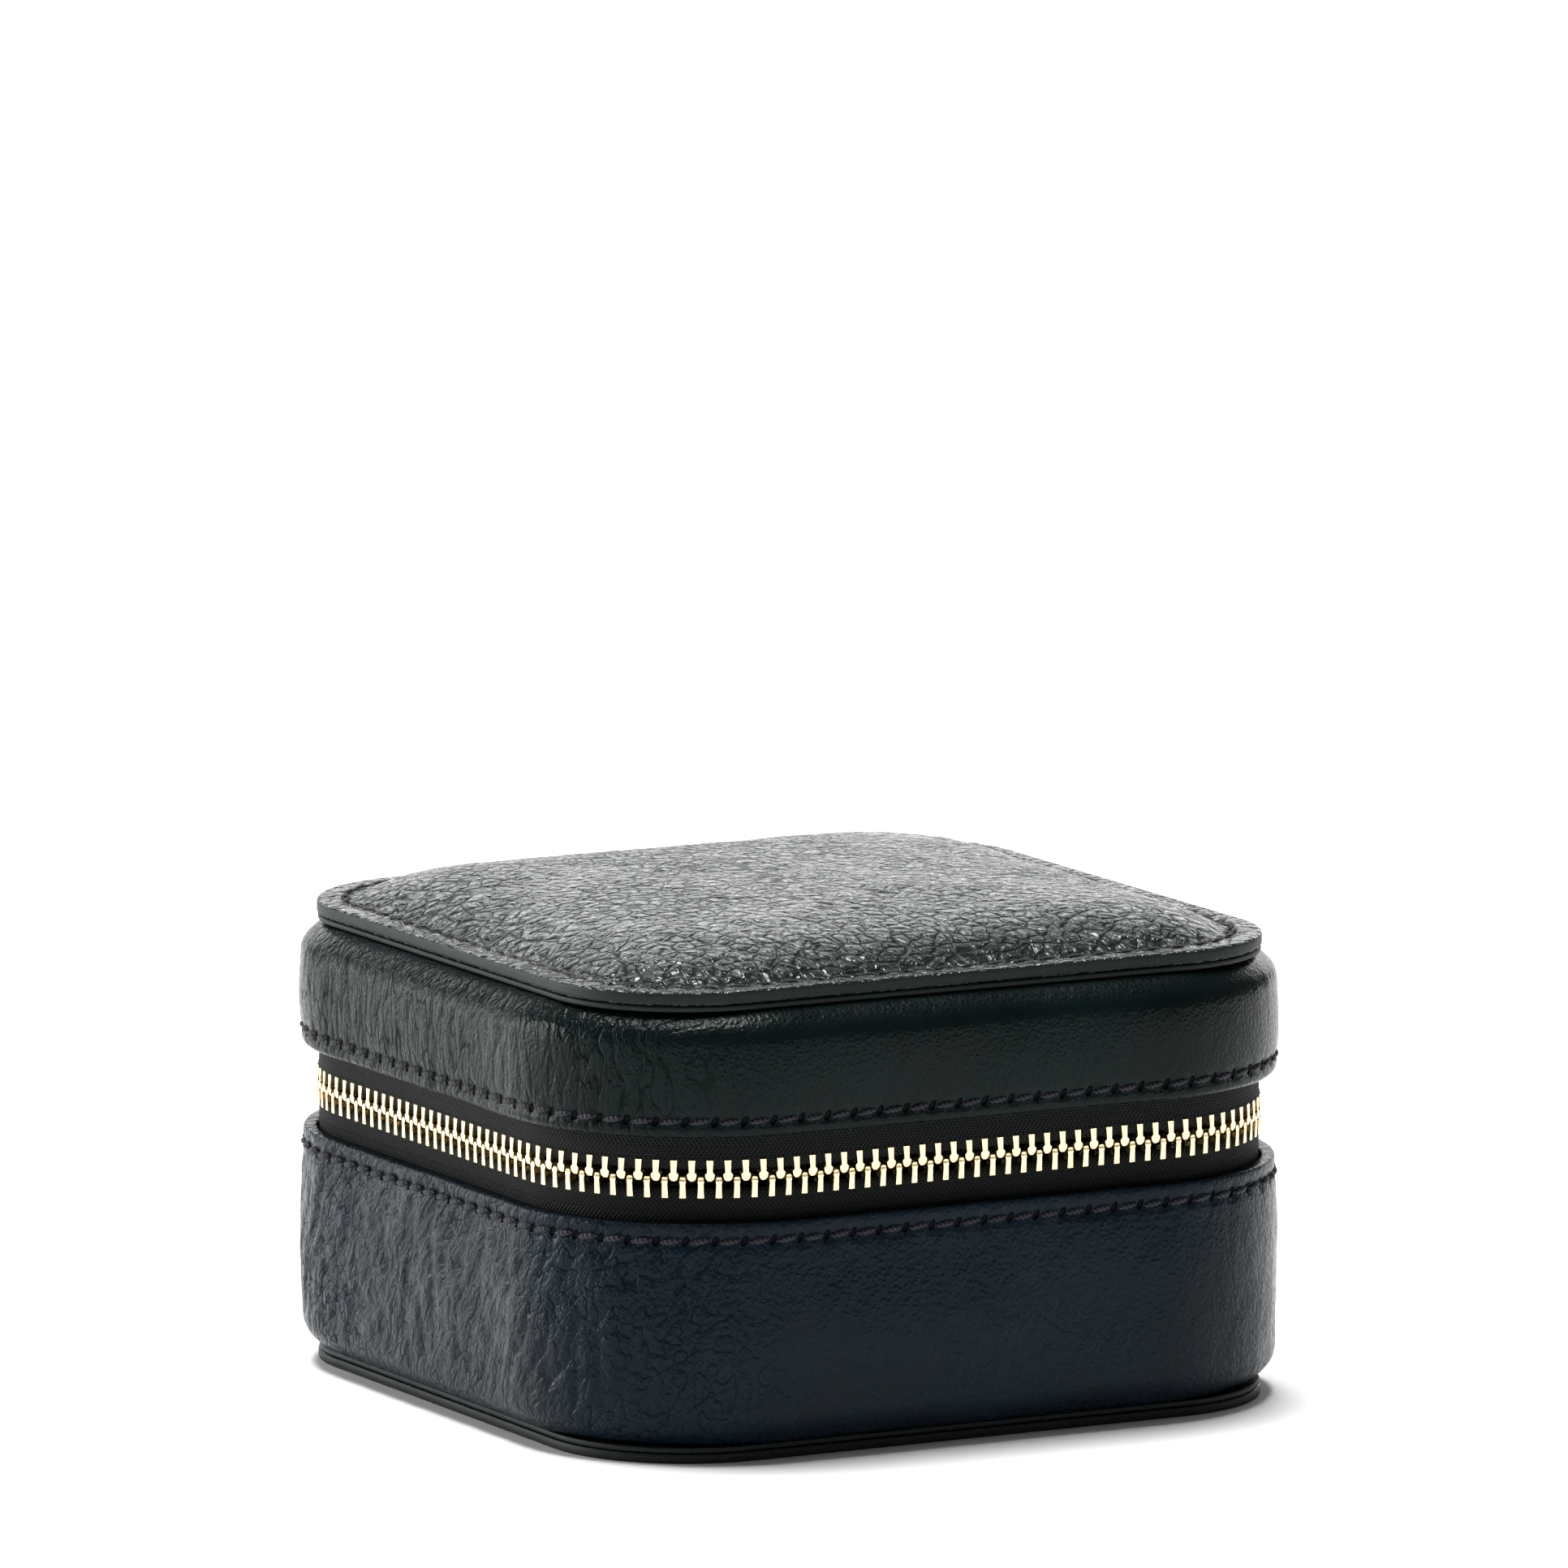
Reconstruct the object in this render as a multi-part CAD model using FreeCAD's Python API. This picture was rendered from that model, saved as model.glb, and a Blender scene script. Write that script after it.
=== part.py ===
import FreeCAD, Part

import math
import os

os.makedirs("parts", exist_ok=True)

# A leather jewellery case: a square box with rounded corners, a padded lid and a metal zip
# that runs round three sides.  Millimetres.  X points right, Y points back to the spine,
# Z points up, and the origin is the centre of the underside.

# ---- overall sizes ----
wall_side = 110.4          # outside width and depth of both walls
wall_corner = 28.0         # outside corner radius of both walls
panel_setback = 3.45       # from the wall's face in to the panels' edges
panel_corner = 19.5        # corner radius of the top and bottom panels
base_wall_top = 32.2       # height of the base wall's upper edge
lid_wall_bottom = 43.4     # height of the lid wall's lower edge
rim_top = 62.5             # height of the flat rim round the lid's pad
pad_height = 4.4           # how far the pad stands above the rim

# ---- leather, board and lining ----
wall_leather = 1.7         # thickness of the wall leather
turn_radius = 4.0          # outside radius where a wall turns in to a panel
turned_flange = 5.0        # width of the wall leather turned in under a panel
bottom_leather = 1.3       # thickness of the bottom panel's outer leather
bottom_welt = 0.8          # thickness of the second layer in the bottom panel
rim_leather = 1.8          # thickness of the lid panel's leather at the rim
rim_welt = 0.8             # thickness of the second layer under the rim
pad_inset = 6.0            # from the rim's edge to the foot of the pad
pad_edge = 4.0             # rounding of the pad's upper edge
pad_leather = 1.3          # thickness of the leather over the pad
board = 2.0                # thickness of the stiffening board in the walls
board_step = 0.3           # from the turned leather to the end of the wall board
floor_board = 1.6          # thickness of the board in the floor and the lid
lining = 0.7               # thickness of the lining
layer_gap = 0.06           # clearance between layers that are glued or sewn together

# ---- zip ----
tape_gap = 0.25            # from the wall leather's inner face to the tape
chain_width = 5.18         # across both rows of teeth
tooth_pitch = 2.33         # along one row
tooth_gap = 0.165          # between a tooth and its neighbours in the other row
tooth_depth = 1.3          # through the tape
row_overlap = 0.70         # how far the two rows pass each other
slot_clearance = 0.06      # between a tooth and the tape in its slot
tape = 0.70                # thickness of the tape
tape_from_middle = 1.3     # from the chain's middle to the tape's edge
tape_hidden = 4.8          # width of tape sewn behind each wall
zip_end = 19.0             # from the centre of the back to each end of the zip
fixed_reach = 1.2          # how far the upper teeth that stay with the base pass the slider
post_lane = 1.2            # clear height that the slider's post passes through

# ---- slider and pull ----
slider_length = 8.4
slider_height = 7.8
slider_plate = 0.9
slider_outer_gap = 1.2     # from the chain's middle out to the outer plate
slider_inner_gap = 0.85    # from the chain's middle in to the inner plate
slider_flange_tip = 0.9    # from the chain's middle out to the outer flange's tip
slider_flange = 0.95       # height of each flange
post_height = 0.9
post_length = 2.2
arch_wire = 0.7            # diameter of the arch that the pull hangs on
wire = 0.8                 # diameter of the pull's link
wire_clearance = 0.2
link_drop = 3.6            # between the centres of the link's two ends
slider_turn = 90.0         # travel round the rear right corner, degrees
tab_length = 24.0
tab_width = 7.5
tab_tongue = 0.9           # thickness of the tab where it hangs in the link
tab_body = 1.4             # thickness of the folded and sewn tab
tab_hole = 2.2             # diameter of the tab's eye
tab_hang = 0.35            # how far the eye's centre hangs below the link's wire

# ---- spine ----
spine_half_width = 18.4
spine_leather = 1.0
spine_gap = 0.15           # between the spine's two halves

# ---- stitches ----
thread = 0.8               # width of a row of stitches
thread_depth = 0.35        # how far the thread stands up
wall_seam = 2.35           # from a wall's free edge to its row of stitches
rim_seam = 3.7             # from a panel's edge to its row of stitches

# ---- inside ----
roll_width = 9.0
roll_gap = 0.4
roll_end_gap = 1.1         # from each end of a roll to the long dividers
last_roll_short = 3.0      # how much shorter the last roll is at each end
roll_room = 1.5            # least space left behind the last roll
roll_height = 19.0
divider = 1.8
divider_height = 21.0
side_divider_x = 31.0      # from the centre to each long divider
cross_divider_y = -1.6
lift_clearance = 0.35      # round the divider that lifts out
slot_depth = 0.7           # of the slots that hold it
mirror_side = 62.0
mirror_thickness = 1.6
mirror_frame = 7.0         # width of the mirror's leather frame
mirror_corner = 8.0

# ---- derived sizes ----
half = wall_side / 2
panel_side = wall_side - 2 * panel_setback
chain_inset = wall_leather + tape_gap + tape / 2
tooth_width = tooth_pitch / 2 - tooth_gap
corner_centre = half - wall_corner
chain_half = half - chain_inset
chain_radius = wall_corner - chain_inset
chain_z = (base_wall_top + lid_wall_bottom) / 2
bottom_top = bottom_leather + layer_gap + bottom_welt
rim_bottom = rim_top - rim_leather
welt_bottom = rim_bottom - layer_gap - rim_welt
base_wall_bottom = bottom_top + layer_gap
lid_wall_top = welt_bottom - layer_gap
board_inset = chain_inset + spine_leather / 2 + layer_gap + 0.04
lining_inset = board_inset + board + layer_gap
room_inset = lining_inset + lining
floor_z = base_wall_bottom + wall_leather + layer_gap
floor_lining_z = floor_z + floor_board + layer_gap
room_floor = floor_lining_z + lining
ceiling_z = lid_wall_top - wall_leather - layer_gap
lid_lining_z = ceiling_z - floor_board - layer_gap
room_ceiling = lid_lining_z - lining


def save(shape, node):
    """Write one piece of the case."""
    shape.exportStep("parts/" + node + ".step")


def square(side, corner, low, high):
    """An upright block, square in plan with rounded corners, from low to high."""
    flat = side - 2 * corner
    shape = Part.makeBox(side, flat, high - low, FreeCAD.Vector(-side / 2, -flat / 2, low))
    shape = shape.fuse(
        Part.makeBox(flat, side, high - low, FreeCAD.Vector(-flat / 2, -side / 2, low))
    )
    for x in (-flat / 2, flat / 2):
        for y in (-flat / 2, flat / 2):
            post = Part.makeCylinder(corner, high - low, FreeCAD.Vector(x, y, low))
            shape = shape.fuse(post)
    return shape.removeSplitter()


def inset_block(inset, low, high):
    """A block whose face lies this far inside the wall's outer face."""
    return square(wall_side - 2 * inset, wall_corner - inset, low, high)


def wall_ring(outer_inset, inner_inset, low, high):
    """A plain wall between two depths inside the outer face."""
    ring = inset_block(outer_inset, low, high)
    return ring.cut(inset_block(inner_inset, low - 1, high + 1))


def panel_ring(outer_inset, inner_inset, low, high):
    """A flat ring between two distances inside a panel's edge."""
    ring = square(panel_side - 2 * outer_inset, panel_corner - outer_inset, low, high)
    hole = square(panel_side - 2 * inner_inset, panel_corner - inner_inset, low - 1, high + 1)
    return ring.cut(hole)


def edges_at(shape, z):
    """The edges that lie wholly at one height."""
    found = []
    for edge in shape.Edges:
        box = edge.BoundBox
        if abs(box.ZMin - z) < 1e-4 and abs(box.ZMax - z) < 1e-4:
            found.append(edge)
    return found


def turned_wall(low, high, turned_at_top):
    """A wall of leather whose far edge is turned in to lie against a panel."""
    turned = high if turned_at_top else low
    outer = inset_block(0, low, high)
    outer = outer.makeFillet(turn_radius, edges_at(outer, turned))
    if turned_at_top:
        inner = inset_block(wall_leather, low - 5, high - wall_leather)
        inner_turn = high - wall_leather
    else:
        inner = inset_block(wall_leather, low + wall_leather, high + 5)
        inner_turn = low + wall_leather
    inner = inner.makeFillet(turn_radius - wall_leather, edges_at(inner, inner_turn))
    hole = inset_block(turn_radius + turned_flange, low - 1, high + 1)
    return outer.cut(inner).cut(hole)


def block(x0, x1, y0, y1, z0, z1):
    """A box between two corners."""
    return Part.makeBox(x1 - x0, y1 - y0, z1 - z0, FreeCAD.Vector(x0, y0, z0))


def chain_place(distance):
    """A point on the chain and its heading, measured along the chain from its right-hand end.

    The chain leaves the right of the spine, turns forward round the rear right corner,
    crosses the front and comes back round the left side.
    """
    straight = 2 * corner_centre
    bend = math.pi / 2 * chain_radius
    first = corner_centre - zip_end
    turns = [(corner_centre, corner_centre, 90), (corner_centre, -corner_centre, 0),
             (-corner_centre, -corner_centre, -90), (-corner_centre, corner_centre, -180)]
    if distance < first:
        return zip_end + distance, chain_half, 90.0
    left = distance - first
    for x, y, angle in turns:
        if left < bend:
            turn = angle - math.degrees(left / chain_radius)
            rad = math.radians(turn)
            return x + chain_radius * math.cos(rad), y + chain_radius * math.sin(rad), turn
        left -= bend
        end = math.radians(angle - 90)
        if left < straight or angle == -180:
            along = (math.sin(end), -math.cos(end))
            px = x + chain_radius * math.cos(end) + left * along[0]
            py = y + chain_radius * math.sin(end) + left * along[1]
            return px, py, angle - 90.0
        left -= straight
    return None


def make_tooth(upper, trimmed):
    """One tooth, standing at the origin with its back to +X; its slot grips the tape."""
    reach = row_overlap / 2
    if trimmed:
        reach = -post_lane / 2
    tooth = block(-tooth_depth / 2, tooth_depth / 2, -tooth_width / 2, tooth_width / 2,
                  -chain_width / 2, reach)
    slot_half = tape / 2 + slot_clearance
    slot_top = -tape_from_middle + slot_clearance
    slot = block(-slot_half, slot_half, -tooth_width, tooth_width, -chain_width, slot_top)
    tooth = tooth.cut(slot)
    if upper:
        tooth.rotate(FreeCAD.Vector(0, 0, 0), FreeCAD.Vector(1, 0, 0), 180)
    return tooth


def place_tooth(tooth, place):
    """Stand a copy of a tooth on the chain."""
    x, y, heading = place
    copy = tooth.copy()
    copy.rotate(FreeCAD.Vector(0, 0, 0), FreeCAD.Vector(0, 0, 1), heading)
    copy.translate(FreeCAD.Vector(x, y, chain_z))
    return copy


# ---- bottom panel ----
bottom = square(panel_side, panel_corner, 0, bottom_leather)
groove = panel_ring(rim_seam - thread / 2 - 0.1, rim_seam + thread / 2 + 0.1, -1, thread_depth + 0.1)
save(bottom.cut(groove), "bottom_panel_leather")
welt = square(panel_side, panel_corner, bottom_leather + layer_gap, bottom_top)
save(welt, "bottom_panel_welt")
bottom_thread = panel_ring(rim_seam - thread / 2, rim_seam + thread / 2, 0.05, thread_depth)
save(bottom_thread, "bottom_seam_thread")

# ---- base ----
save(turned_wall(base_wall_bottom, base_wall_top, False), "base_wall_leather")
base_board_top = base_wall_top - 0.5
base_board = wall_ring(board_inset, board_inset + board, floor_z + board_step, base_board_top)
save(base_board, "base_wall_board")
base_lining = wall_ring(lining_inset, room_inset, floor_lining_z, base_board_top)
save(base_lining, "base_wall_lining")
floor = inset_block(board_inset + board + layer_gap, floor_z, floor_z + floor_board)
save(floor, "base_floor_board")
floor_cloth = inset_block(room_inset + layer_gap, floor_lining_z, room_floor)
save(floor_cloth, "base_floor_lining")
base_seam = base_wall_top - wall_seam
base_thread = wall_ring(-thread_depth, -0.02, base_seam - thread / 2, base_seam + thread / 2)
save(base_thread, "base_seam_thread")

# ---- lid ----
save(turned_wall(lid_wall_bottom, lid_wall_top, True), "lid_wall_leather")
lid_board_bottom = lid_wall_bottom + 0.5
lid_board_top = ceiling_z - board_step
lid_board = wall_ring(board_inset, board_inset + board, lid_board_bottom, lid_board_top)
save(lid_board, "lid_wall_board")
lid_lining = wall_ring(lining_inset, room_inset, lid_board_bottom, lid_lining_z)
save(lid_lining, "lid_wall_lining")
top_board = inset_block(board_inset + board + layer_gap, ceiling_z - floor_board, ceiling_z)
save(top_board, "lid_top_board")
top_cloth = inset_block(room_inset + layer_gap, room_ceiling, lid_lining_z)
save(top_cloth, "lid_top_lining")
lid_seam = lid_wall_bottom + wall_seam
lid_thread = wall_ring(-thread_depth, -0.02, lid_seam - thread / 2, lid_seam + thread / 2)
save(lid_thread, "lid_seam_thread")
save(square(panel_side, panel_corner, welt_bottom, welt_bottom + rim_welt), "lid_panel_welt")

crown_side = panel_side - 2 * pad_inset
crown_corner = panel_corner - pad_inset
crown_top = rim_top + pad_height
crown = square(crown_side, crown_corner, rim_bottom, crown_top)
crown = crown.makeFillet(pad_edge, edges_at(crown, crown_top))
panel = square(panel_side, panel_corner, rim_bottom, rim_top).fuse(crown).removeSplitter()
core_side = crown_side - 2 * pad_leather
core_corner = crown_corner - pad_leather
core_top = crown_top - pad_leather
core = square(core_side, core_corner, rim_bottom - 1, core_top)
core = core.makeFillet(pad_edge - pad_leather, edges_at(core, core_top))
save(panel.cut(core), "lid_panel_leather")
foam_side = core_side - 2 * layer_gap
foam_top = core_top - layer_gap
foam = square(foam_side, core_corner - layer_gap, rim_bottom, foam_top)
foam = foam.makeFillet(pad_edge - pad_leather, edges_at(foam, foam_top))
save(foam, "lid_padding")
rim_thread = panel_ring(rim_seam - thread / 2, rim_seam + thread / 2,
                        rim_top + 0.02, rim_top + thread_depth)
save(rim_thread, "rim_thread")

# ---- zip teeth ----
straight_start = corner_centre - zip_end
chain_length = 2 * straight_start + 6 * corner_centre + 4 * math.pi / 2 * chain_radius
first_tooth = 2.9
tooth_count = int((chain_length - 2 * first_tooth) / tooth_pitch)
fixed_end = straight_start + slider_length / 2 + fixed_reach
fixed_teeth = 1 + int((fixed_end - first_tooth - tooth_pitch / 2) / tooth_pitch)
lane_end = straight_start + math.pi / 2 * chain_radius + slider_length / 2 + 1.2
lower_full = make_tooth(False, False)
lower_cut = make_tooth(False, True)
upper_full = make_tooth(True, False)
upper_cut = make_tooth(True, True)
lower_teeth = []
upper_teeth = []
upper_end_teeth = []
for index in range(tooth_count):
    lower_at = first_tooth + index * tooth_pitch
    upper_at = lower_at + tooth_pitch / 2
    lower_teeth.append(
        place_tooth(lower_cut if lower_at < lane_end else lower_full, chain_place(lower_at))
    )
    tooth = place_tooth(upper_cut if upper_at < lane_end else upper_full, chain_place(upper_at))
    if index < fixed_teeth:
        upper_end_teeth.append(tooth)
    else:
        upper_teeth.append(tooth)
save(Part.makeCompound(lower_teeth), "lower_zip_teeth")
save(Part.makeCompound(upper_teeth), "upper_zip_teeth")
save(Part.makeCompound(upper_end_teeth), "upper_zip_end_teeth")

# ---- zip tapes ----
# The last few upper teeth and their short tape stay with the base: they lie so close to
# the hinge line that the real tape only flexes there.
last_fixed = chain_place(first_tooth + (fixed_teeth - 0.5) * tooth_pitch)[0]
first_free = chain_place(first_tooth + (fixed_teeth + 0.5) * tooth_pitch)[0]
tape_split = (last_fixed + first_free) / 2
tape_outer = chain_inset - tape / 2
tape_inner = chain_inset + tape / 2
far = wall_side
tape_low_edge = base_wall_top - tape_hidden
tape_high_edge = lid_wall_bottom + tape_hidden
spine_notch = block(-zip_end, zip_end, 0, far, 0, far)
lower_tape = wall_ring(tape_outer, tape_inner, tape_low_edge, chain_z - tape_from_middle)
save(lower_tape.cut(spine_notch), "lower_zip_tape")
upper_tape = wall_ring(tape_outer, tape_inner, chain_z + tape_from_middle, tape_high_edge)
end_top = lid_wall_bottom - 0.7
end_notch = block(0, tape_split + 0.15, 0, far, 0, lid_wall_bottom + 0.1)
save(upper_tape.cut(spine_notch).cut(end_notch), "upper_zip_tape")
end_keep = block(zip_end, tape_split - 0.15, 0, far, 0, end_top)
save(upper_tape.common(end_keep), "upper_zip_end_tape")

stop_face = tooth_depth / 2 + 0.1
stop_slot = tape / 2 + slot_clearance
right_stop = block(zip_end + 0.3, zip_end + 1.6, chain_half - stop_face, chain_half + stop_face,
                   chain_z - chain_width / 2, chain_z + chain_width / 2)
left_stop = block(-zip_end - 1.6, -zip_end - 0.3, chain_half - stop_face, chain_half + stop_face,
                  chain_z - chain_width / 2, chain_z + row_overlap / 2)
tape_slots = block(-far, far, chain_half - stop_slot, chain_half + stop_slot,
                   0, chain_z - tape_from_middle + slot_clearance)
upper_slots = block(-far, far, chain_half - stop_slot, chain_half + stop_slot,
                    chain_z + tape_from_middle - slot_clearance, far)
stops = Part.makeCompound([right_stop.cut(tape_slots).cut(upper_slots), left_stop.cut(tape_slots)])
save(stops, "zip_end_stops")

# ---- spine: two halves of one leather hinge, meeting on the hinge line ----
spine_round = spine_leather / 2
spine_low = block(-spine_half_width, spine_half_width,
                  chain_half - spine_round, chain_half + spine_round,
                  tape_low_edge, chain_z - spine_round - spine_gap)
save(spine_low, "spine_lower")
spine_high = block(-spine_half_width, spine_half_width,
                   chain_half - spine_round, chain_half + spine_round,
                   chain_z, tape_high_edge)
spine_roll = Part.makeCylinder(
    spine_round, 2 * spine_half_width,
    FreeCAD.Vector(-spine_half_width, chain_half, chain_z), FreeCAD.Vector(1, 0, 0),
)
save(spine_high.fuse(spine_roll).removeSplitter(), "spine_upper")


# ---- slider: curved plates, concentric with the rear right corner ----
def sector(inner, outer, low, high, length):
    """A curved plate centred on the back of the rear right corner."""
    half_turn = math.degrees(length / 2 / chain_radius)
    centre = FreeCAD.Vector(corner_centre, corner_centre, low)
    up = FreeCAD.Vector(0, 0, 1)
    plate = Part.makeCylinder(outer, high - low, centre, up, 2 * half_turn)
    hole = Part.makeCylinder(inner, high - low + 2, centre - FreeCAD.Vector(0, 0, 1), up)
    plate = plate.cut(hole)
    plate.rotate(centre, up, 90 - half_turn)
    return plate


slider_low = chain_z - slider_height / 2
slider_high = chain_z + slider_height / 2
outer_face = chain_radius + slider_outer_gap
inner_face = chain_radius - slider_inner_gap
slider = sector(outer_face, outer_face + slider_plate, slider_low, slider_high, slider_length)
inner_plate = sector(inner_face - slider_plate, inner_face, slider_low, slider_high, slider_length)
slider = slider.fuse(inner_plate)
flange_out = chain_radius + slider_flange_tip
flange_in = chain_radius - slider_inner_gap + 0.3
for low, high in ((slider_low, slider_low + slider_flange), (slider_high - slider_flange, slider_high)):
    slider = slider.fuse(sector(flange_out, outer_face + 0.1, low, high, slider_length))
    slider = slider.fuse(sector(inner_face - 0.1, flange_in, low, high, slider_length))
post = sector(inner_face - 0.1, outer_face + 0.1,
              chain_z - post_height / 2, chain_z + post_height / 2, post_length)
slider = slider.fuse(post)
plate_y = corner_centre + outer_face + slider_plate
arch_y = plate_y + wire_clearance + wire + wire_clearance + arch_wire / 2
arch_half = slider_length / 2 - 1.0
arch = Part.makeCylinder(
    arch_wire / 2, 2 * arch_half,
    FreeCAD.Vector(corner_centre - arch_half, arch_y, chain_z), FreeCAD.Vector(1, 0, 0),
)
slider = slider.fuse(arch)
for side in (-1, 1):
    foot_x = corner_centre + side * arch_half
    foot = block(foot_x - 0.5, foot_x + 0.5, plate_y - 0.6, arch_y + arch_wire / 2,
                 chain_z - 0.6, chain_z + 0.6)
    slider = slider.fuse(foot)
save(slider.removeSplitter(), "slider")

# ---- pull: a wire link round the arch, and a leather tab hung in the link ----
bend = arch_wire / 2 + wire_clearance + wire / 2
link_top = FreeCAD.Vector(corner_centre, arch_y, chain_z)
link_bottom = FreeCAD.Vector(corner_centre, arch_y, chain_z - link_drop)
across = FreeCAD.Vector(1, 0, 0)
link = Part.makeTorus(bend, wire / 2, link_top, across)
link = link.common(block(-far, far, 0, far, chain_z, far))
lower_bend = Part.makeTorus(bend, wire / 2, link_bottom, across)
link = link.fuse(lower_bend.common(block(-far, far, 0, far, 0, chain_z - link_drop)))
for side in (-1, 1):
    leg = Part.makeCylinder(
        wire / 2, link_drop,
        link_bottom + FreeCAD.Vector(0, side * bend, 0), FreeCAD.Vector(0, 0, 1),
    )
    link = link.fuse(leg)
save(link.removeSplitter(), "pull_link")

eye_z = chain_z - link_drop - bend
tongue_top = eye_z - tab_hang + tab_hole / 2 + 0.7
tongue_width = 3.4
fold_z = eye_z - 3.2
tongue = block(corner_centre - tongue_width / 2, corner_centre + tongue_width / 2,
               arch_y - tab_tongue / 2, arch_y + tab_tongue / 2, fold_z - 1, tongue_top)
tab = block(corner_centre - tab_width / 2, corner_centre + tab_width / 2,
            arch_y - tab_body / 2, arch_y + tab_body / 2, fold_z - tab_length, fold_z)
end_edges = []
for edge in tab.Edges:
    box = edge.BoundBox
    if box.XLength < 1e-6 and box.ZLength < 1e-6 and box.YLength > 1e-6:
        end_edges.append(edge)
tab = tab.makeFillet(2.4, end_edges)
eye = Part.makeCylinder(tab_hole / 2, 4, FreeCAD.Vector(corner_centre, arch_y - 2, eye_z - tab_hang),
                        FreeCAD.Vector(0, 1, 0))
save(tab.fuse(tongue).cut(eye).removeSplitter(), "pull_tab")

# ---- inside the base ----
room_half = half - room_inset
room_wall = inset_block(room_inset + layer_gap, 0, rim_top)
divider_low = room_floor + layer_gap
divider_high = divider_low + divider_height
lift_x = 0.0
slot_half_width = divider / 2 + lift_clearance
front_slot = block(lift_x - slot_half_width, lift_x + slot_half_width,
                   cross_divider_y - divider / 2 - 0.01, cross_divider_y - divider / 2 + slot_depth,
                   divider_low, divider_high + 1)
for node, side in (("divider_left", -1), ("divider_right", 1)):
    centre_x = side * side_divider_x
    wall = block(centre_x - divider / 2, centre_x + divider / 2, -far, far,
                 divider_low, divider_high)
    save(wall.common(room_wall), node)
cross_half = side_divider_x - divider / 2 - layer_gap
cross = block(-cross_half, cross_half, cross_divider_y - divider / 2, cross_divider_y + divider / 2,
              divider_low, divider_high)
save(cross.cut(front_slot), "divider_cross")
keeper_back = -room_half + layer_gap + 1.6
keeper = block(-6, 6, -room_half + layer_gap, keeper_back, divider_low, divider_high)
keeper_slot = block(lift_x - slot_half_width, lift_x + slot_half_width,
                    keeper_back - slot_depth, keeper_back + 1, divider_low, divider_high + 1)
save(keeper.cut(keeper_slot), "divider_keeper")
lift_front = keeper_back - slot_depth + lift_clearance
lift_back = cross_divider_y - divider / 2 + slot_depth - lift_clearance
lift = block(lift_x - divider / 2, lift_x + divider / 2, lift_front, lift_back,
             divider_low, divider_high - 1.0)
finger = Part.makeCylinder(
    7.0, 10, FreeCAD.Vector(lift_x - 5, (lift_front + lift_back) / 2, divider_high + 2.0),
    FreeCAD.Vector(1, 0, 0),
)
save(lift.cut(finger), "lift_out_divider")

rolls = []
roll_length = 2 * (side_divider_x - divider / 2 - roll_end_gap)
roll_pitch = roll_width + roll_gap
roll_start = cross_divider_y + divider / 2 + 0.3
first_roll = roll_start + roll_width / 2
roll_count = int((room_half - roll_room - roll_start + roll_gap) / roll_pitch)
for index in range(roll_count):
    y = first_roll + index * roll_pitch
    length = roll_length
    if index == roll_count - 1:
        length = roll_length - 2 * last_roll_short
    low = divider_low
    radius = roll_width / 2
    body = block(-length / 2, length / 2, y - radius, y + radius, low, low + roll_height - radius)
    cap = Part.makeCylinder(radius, length, FreeCAD.Vector(-length / 2, y, low + roll_height - radius),
                            FreeCAD.Vector(1, 0, 0))
    rolls.append(body.fuse(cap).removeSplitter())
save(Part.makeCompound(rolls), "ring_rolls")

# ---- inside the lid ----
frame_side = mirror_side + 2 * mirror_frame - 3.0
frame_top = room_ceiling - layer_gap
frame_low = frame_top - mirror_thickness - 1.0
glass = square(mirror_side, mirror_corner, frame_top - mirror_thickness, frame_top - 0.02)
save(glass, "lid_mirror")
window = square(mirror_side - 3.0, mirror_corner - 1.5, frame_low - 1, frame_top + 1)
seat = square(mirror_side + 0.4, mirror_corner + 0.2, frame_top - mirror_thickness - 0.05,
              frame_top + 1)
mirror_ring = square(frame_side, mirror_corner + mirror_frame - 1.5, frame_low, frame_top)
save(mirror_ring.cut(window).cut(seat), "lid_mirror_frame")
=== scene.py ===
# %% [markdown]
# # A zip-round leather jewellery case
#
# The case is a soft box: stiff board inside, leather outside, and a metal zip that lets the
# padded lid swing back on a leather spine.  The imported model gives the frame, the sizes and
# the moving bodies.  This lesson puts the real surfaces round it: turned leather with
# wrinkles and stitches, a padded top, woven tape and brass teeth.

# %% Load the frame
import math

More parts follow.
